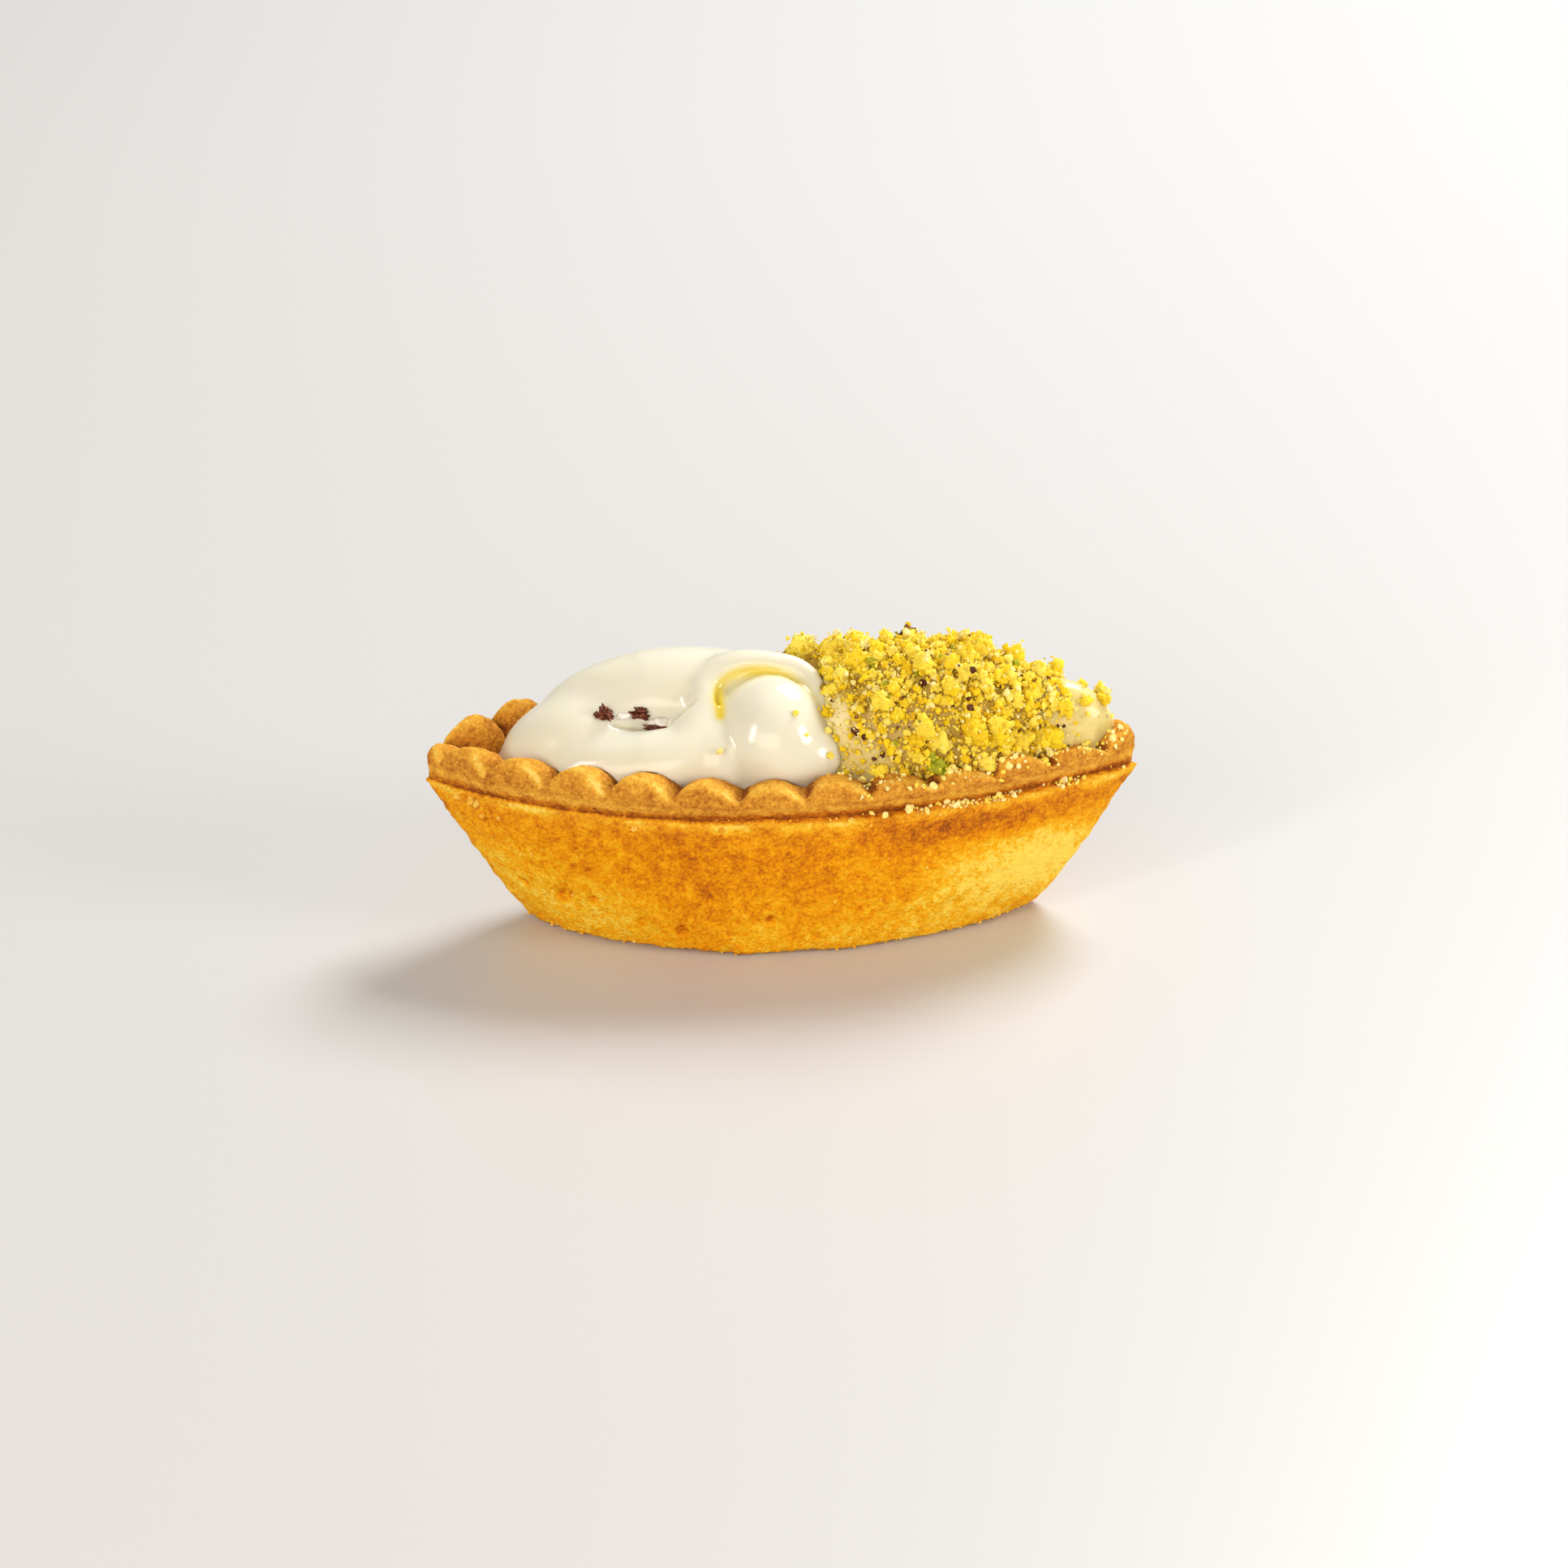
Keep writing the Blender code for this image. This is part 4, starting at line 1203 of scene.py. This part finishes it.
nut_material, nodes, links, shader = new_material("chopped pistachio", (0.8, 0.6, 0.05), 0.6)
shader.inputs["Specular IOR Level"].default_value = 0.12
grain = add_grain(nodes, 0.3)
speckle = add_math(nodes, links, "SUBTRACT", grain.outputs["Speckle"], 0.5)
speckle = add_math(nodes, links, "MULTIPLY", speckle, 0.3)
tint = add_math(nodes, links, "ADD", add_attribute(nodes, "tint"), speckle)
colour = add_ramp(nodes, links, tint, [
    (0.02, (0.08, 0.02, 0.012)),
    (0.09, (0.34, 0.13, 0.03)),
    (0.13, (0.32, 0.34, 0.02)),
    (0.22, (0.46, 0.45, 0.02)),
    (0.30, (0.76, 0.44, 0.02)),
    (0.50, (0.92, 0.66, 0.012)),
    (0.78, (0.94, 0.77, 0.11)),
    (1.00, (0.95, 0.85, 0.42)),
])
links.new(colour, shader.inputs["Base Color"])
add_bump(nodes, links, shader, grain.outputs["Height"], 0.12 * MM, 0.7)


def add_nuts(name, mesh):
    piece = add_object(name, mesh, nut_material)
    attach(piece, "root")


LUMP_COUNT = 360
LUMP_RADIUS = (0.5 * MM, 1.6 * MM)
LUMP_TINTS = (0.36, 0.78)
LUMP_TRIES = 9000
LUMP_SPACING = 0.66  # share of the two radii
LUMPS_ON_BARE, GRAINS_ON_BARE = 0.12, 0.5
DARK_LUMPS = 0.04
# Green lumps: place and radius in millimetres
GREEN_LUMPS = [
    ((20.2, -10.4, 25.8), 1.3),
    ((21.4, -10.4, 24.9), 0.9),
    ((19.4, -10.2, 27.0), 0.9),
]
GREEN = 0.17
draw = np.random.default_rng(21)
points, normals = surface_points(pistachio_mesh, LUMP_TRIES, heap_density(LUMPS_ON_BARE), 21)
lumps = [(np.array(place) * MM - np.array(SHELL_MIDDLE), radius * MM) for place, radius in GREEN_LUMPS]
for point, normal, size in zip(points, normals, draw.random(len(points)) ** 2.0):
    radius = mix(*LUMP_RADIUS, size)
    spot = point + normal * radius * draw.uniform(0.1, 1.0)
    clear = all(np.linalg.norm(spot - other) > LUMP_SPACING * (radius + reach) for other, reach in lumps)
    if clear and len(lumps) < LUMP_COUNT:
        lumps.append((spot, radius))
spots, radii = np.array([spot for spot, _ in lumps]), np.array([radius for _, radius in lumps])
grains = rough_grains("lump_shapes", 3, 0.5, 0.55, 31)
tints = tints_for(len(spots), draw, DARK_LUMPS, *LUMP_TINTS)
tints[:len(GREEN_LUMPS)] = GREEN
lump_mesh = scatter("nut_lumps", grains, spots, radii, tints, 32)
lump_mesh.shade_smooth()
add_nuts("nut_lumps", lump_mesh)


def surface_tree(mesh):
    """Search tree of a mesh's triangles."""
    spots, corners = ordered_triangles(mesh)
    return BVHTree.FromPolygons(spots.tolist(), corners.tolist(), all_triangles=True)


# Single crumbs on the white cream, in millimetres
STRAY_CRUMBS = [
    (-7.9, -8.6, 27.8),
    (1.9, -7.6, 32.5),
    (3.2, -8.6, 29.9),
    (5.8, -8.2, 26.7),
    (6.4, -6.6, 29.5),
]
white_skin = surface_tree(white_mesh)
stray = [white_skin.find_nearest(Vector(place) * MM - SHELL_MIDDLE)[:2] for place in STRAY_CRUMBS]
stray_points, stray_normals = (np.array([tuple(hit[k]) for hit in stray]) for k in (0, 1))

YELLOW_TINTS, SPILLED_TINTS = (0.40, 0.98), (0.7, 1.0)
# Radii and lift are in millimetres, and the counts are those on the cream, on the lumps and on the rim
GRAIN_KINDS = {
    "nut_bits": {"faces": 2, "radii": (0.28, 0.56), "lift": 0.5, "counts": (1000, 900, 150), "dark": 0.08},
    "nut_crumbs": {"faces": 2, "radii": (0.20, 0.34), "lift": 0.5, "counts": (1300, 700, 260), "dark": 0.06},
    "nut_grains": {"faces": 1, "radii": (0.12, 0.26), "lift": 0.6, "counts": (3000, 4700, 600), "dark": 0.05},
    "nut_meal": {"faces": 1, "radii": (0.05, 0.12), "lift": 0.7, "counts": (3200, 5400, 700), "dark": 0.03},
}
for seed, (kind, grain_kind) in enumerate(GRAIN_KINDS.items(), 41):
    draw = np.random.default_rng(seed)
    grains = rough_grains(kind + "_shapes", grain_kind["faces"], 0.6, 0.5, seed)
    on_cream, on_lumps, on_rim = grain_kind["counts"]
    parts = [
        surface_points(shell_mesh, 60 * on_rim, spill_density, seed + 30),
        surface_points(pistachio_mesh, 4 * on_cream, heap_density(GRAINS_ON_BARE), seed + 10),
        surface_points(lump_mesh, on_lumps, lambda spots, normals: normals[:, 2] > -0.3, seed + 20),
    ]
    limits = (on_rim, on_cream, on_lumps)
    found = [(points[:most], normals[:most]) for (points, normals), most in zip(parts, limits)]
    spilled = len(found[0][0])
    if kind == "nut_bits":
        found.insert(0, (stray_points, stray_normals))
        spilled += len(stray)
    points, normals = (np.concatenate(side) for side in zip(*found))
    radii = mix(*grain_kind["radii"], draw.random(len(points)) ** 2) * MM
    lift = grain_kind["lift"] * draw.random(len(points)) ** 3 * MM
    lift[:spilled] = 0.0
    tints = tints_for(len(points), draw, grain_kind["dark"], *YELLOW_TINTS)
    tints[:spilled] = mix(*SPILLED_TINTS, draw.random(spilled))
    places = points + normals * (radii * 0.5 + lift)[:, None]
    add_nuts(kind, scatter(kind, grains, places, radii, tints, seed))


# Crust crumbs
# Crumbs of baked shortcrust that broke off when the boat left its tin. They cling to the base's edge,
# to the seam and to the hull, and a torn flake stands up at the left end of the seam.
ON_HULL, ON_BASE_EDGE, ON_SEAM = 0.015, 0.5, 0.25


def crumb_density(points, normals):
    """Most along the base's edge and just under the seam, few on the rest of the hull."""
    x, y, z = points.T / MM
    under_seam = SEAM_HEIGHT / MM - SEAM_FALL * x / (SEAM_HALF_LENGTH / MM) - z
    dense = np.full(len(x), ON_HULL)
    dense[(z > 0.3) & (z < 1.3)] = ON_BASE_EDGE
    dense[np.abs(under_seam) < 0.5] = ON_SEAM
    dense[(z < 0.3) | (under_seam < -0.5)] = 0.0
    return dense


CRUMB_COUNT = 430
CRUMB_TRIES = 60000
CRUMB_RADIUS = (0.10, 0.24)  # millimetres
SUNK_SHARE, CLEAR_OF_TABLE = 0.35, 1.25  # in shares of a crumb's radius
# Torn flakes of crust: place and radius in millimetres
TORN_FLAKES = [
    ((-41.8, -3.2, 20.0), 0.55),
    ((-41.0, -3.7, 19.9), 0.75),
    ((-40.1, -4.2, 19.8), 0.65),
    ((-39.3, -4.6, 19.5), 0.5),
    ((-38.9, -4.8, 17.6), 0.4),
    ((-36.5, -6.0, 18.0), 0.35),
    ((-19.0, -12.6, 19.6), 0.4),
    ((-20.6, -12.2, 19.8), 0.3),
    ((-8.0, -14.6, 20.0), 0.35),
    ((-33.4, -8.6, 13.0), 0.3),
]
draw = np.random.default_rng(61)
points, normals = surface_points(shell_mesh, CRUMB_TRIES, crumb_density, 61)
points, normals = points[:CRUMB_COUNT], normals[:CRUMB_COUNT]
radii = mix(*CRUMB_RADIUS, draw.random(len(points)) ** 2) * MM
crust_skin = surface_tree(shell_mesh)
torn = [crust_skin.find_nearest(Vector(place) * MM - SHELL_MIDDLE)[:2] for place, _ in TORN_FLAKES]
points = np.concatenate([points, [tuple(hit[0]) for hit in torn]])
normals = np.concatenate([normals, [tuple(hit[1]) for hit in torn]])
radii = np.concatenate([radii, [radius * MM for _, radius in TORN_FLAKES]])
points = points + normals * (SUNK_SHARE * radii)[:, None]
points[:, 2] = np.maximum(points[:, 2], CLEAR_OF_TABLE * radii)
crumb_material, nodes, links, shader = new_material("crust crumb", (0.9, 0.55, 0.1), 0.75)
shader.inputs["Specular IOR Level"].default_value = 0.1
grain = add_grain(nodes, 0.3)
speckle = add_math(nodes, links, "MULTIPLY", grain.outputs["Speckle"], 0.3)
tint = add_math(nodes, links, "ADD", add_attribute(nodes, "tint"), speckle)
colour = add_ramp(nodes, links, tint, [
    (0.15, (0.70, 0.28, 0.01)),
    (0.70, (0.84, 0.44, 0.03)),
    (1.00, (0.88, 0.56, 0.09)),
])
links.new(colour, shader.inputs["Base Color"])
add_bump(nodes, links, shader, grain.outputs["Height"], 0.1 * MM, 0.7)
grains = rough_grains("crumb_shapes", 2, 0.6, 0.5, 62)
crumb_mesh = scatter("crust_crumbs", grains, points, radii, draw.random(len(points)), 63)
crumbs = add_object("crust_crumbs", crumb_mesh, crumb_material)
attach(crumbs, "root")


# Curds
# Small torn tufts of the same white cream, left rough where the nozzle was pulled out of the pit.
SPIKES_ACROSS, LUMPS_ACROSS = 1.5, 2.6  # how often each comes in a radius


def rough_pieces(pieces, spikes, seed):
    """Bmesh of rough pieces on the white cream.

    Each has a place along and across, a lift, turns in degrees and half sizes, in millimetres."""
    draw = random.Random(seed)
    bm = bmesh.new()
    for (x, y, lift), turn, half in pieces:
        above = Vector((x, y, TALL / MM)) * MM - SHELL_MIDDLE
        floor_place = white_skin.ray_cast(above, Vector((0, 0, -1)))[0] + SHELL_MIDDLE
        verts = bmesh.ops.create_icosphere(bm, subdivisions=3, radius=1.0)["verts"]
        offset = Vector([draw.uniform(-50, 50) for _ in range(3)])
        for vert in verts:
            spike = 0.5 - noise.voronoi(vert.co * SPIKES_ACROSS + offset)[0][0]
            vert.co *= 1 + spikes * spike + 0.4 * noise.noise(vert.co * LUMPS_ACROSS + offset)
        bmesh.ops.scale(bm, vec=Vector(half) * MM, verts=verts)
        rotation = Euler([math.radians(angle) for angle in turn]).to_matrix()
        bmesh.ops.rotate(bm, cent=(0, 0, 0), matrix=rotation, verts=verts)
        bmesh.ops.translate(bm, vec=floor_place + Vector((0, 0, lift * MM)), verts=verts)
    return bm


# Curds: place along and across and lift, turns in degrees, and half sizes in millimetres
CURDS = [
    ((-14.9, -2.7, 0.1), (0, 20, 10), (1.3, 0.9, 0.6)),
    ((-13.6, -2.9, 0.1), (10, -20, 40), (1.0, 0.8, 0.5)),
    ((-16.1, -2.6, 0.1), (0, 10, -30), (0.8, 0.6, 0.45)),
    ((-19.8, -2.4, 0.0), (5, 0, 20), (1.2, 0.6, 0.35)),
]
curd_material, nodes, links, shader = new_material("torn white cream", (0.92, 0.89, 0.80), 0.5)
tone = add_noise(nodes, links, 0.8 * MM, 3.0)
colour = add_ramp(nodes, links, tone, [(0.3, (0.86, 0.80, 0.66)), (0.7, (0.94, 0.92, 0.86))])
links.new(colour, shader.inputs["Base Color"])
add_bump(nodes, links, shader, tone, 0.08 * MM)
curd_mesh = finish_mesh(rough_pieces(CURDS, 0.45, 5), "white_curds")
curds = add_object("white_curds", curd_mesh, curd_material)
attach(curds, "root")


# Dark chocolate
# Broken flakes of dark chocolate, pressed by hand into the pit of the white cream.
# Flakes: the same values as for the curds
CHOCOLATE_FLAKES = [
    ((-22.2, -2.8, 0.30), (25, 50, 20), (1.25, 0.9, 0.6)),
    ((-22.7, -3.1, 0.15), (0, 10, -20), (1.1, 0.55, 0.3)),
    ((-17.9, -2.3, 0.20), (30, 10, -15), (1.3, 0.7, 0.45)),
    ((-17.6, -2.2, 0.15), (0, 20, 50), (1.1, 0.8, 0.35)),
    ((-15.4, -3.7, 0.30), (10, 10, 12), (2.1, 0.6, 0.3)),
]
chocolate, nodes, links, shader = new_material("dark chocolate", (0.09, 0.022, 0.008), 0.5)
shader.inputs["Specular IOR Level"].default_value = 0.2
grain = add_grain(nodes, 0.4)
colour = add_ramp(nodes, links, grain.outputs["Speckle"], [
    (0.35, (0.045, 0.009, 0.003)),
    (0.55, (0.14, 0.030, 0.010)),
    (0.70, (0.42, 0.16, 0.09)),
])
links.new(colour, shader.inputs["Base Color"])
add_bump(nodes, links, shader, grain.outputs["Height"], 0.15 * MM)
flake_mesh = finish_mesh(rough_pieces(CHOCOLATE_FLAKES, 1.1, 8), "chocolate_flakes")
flake_mesh.shade_flat()
flakes = add_object("chocolate_flakes", flake_mesh, chocolate)
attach(flakes, "root")
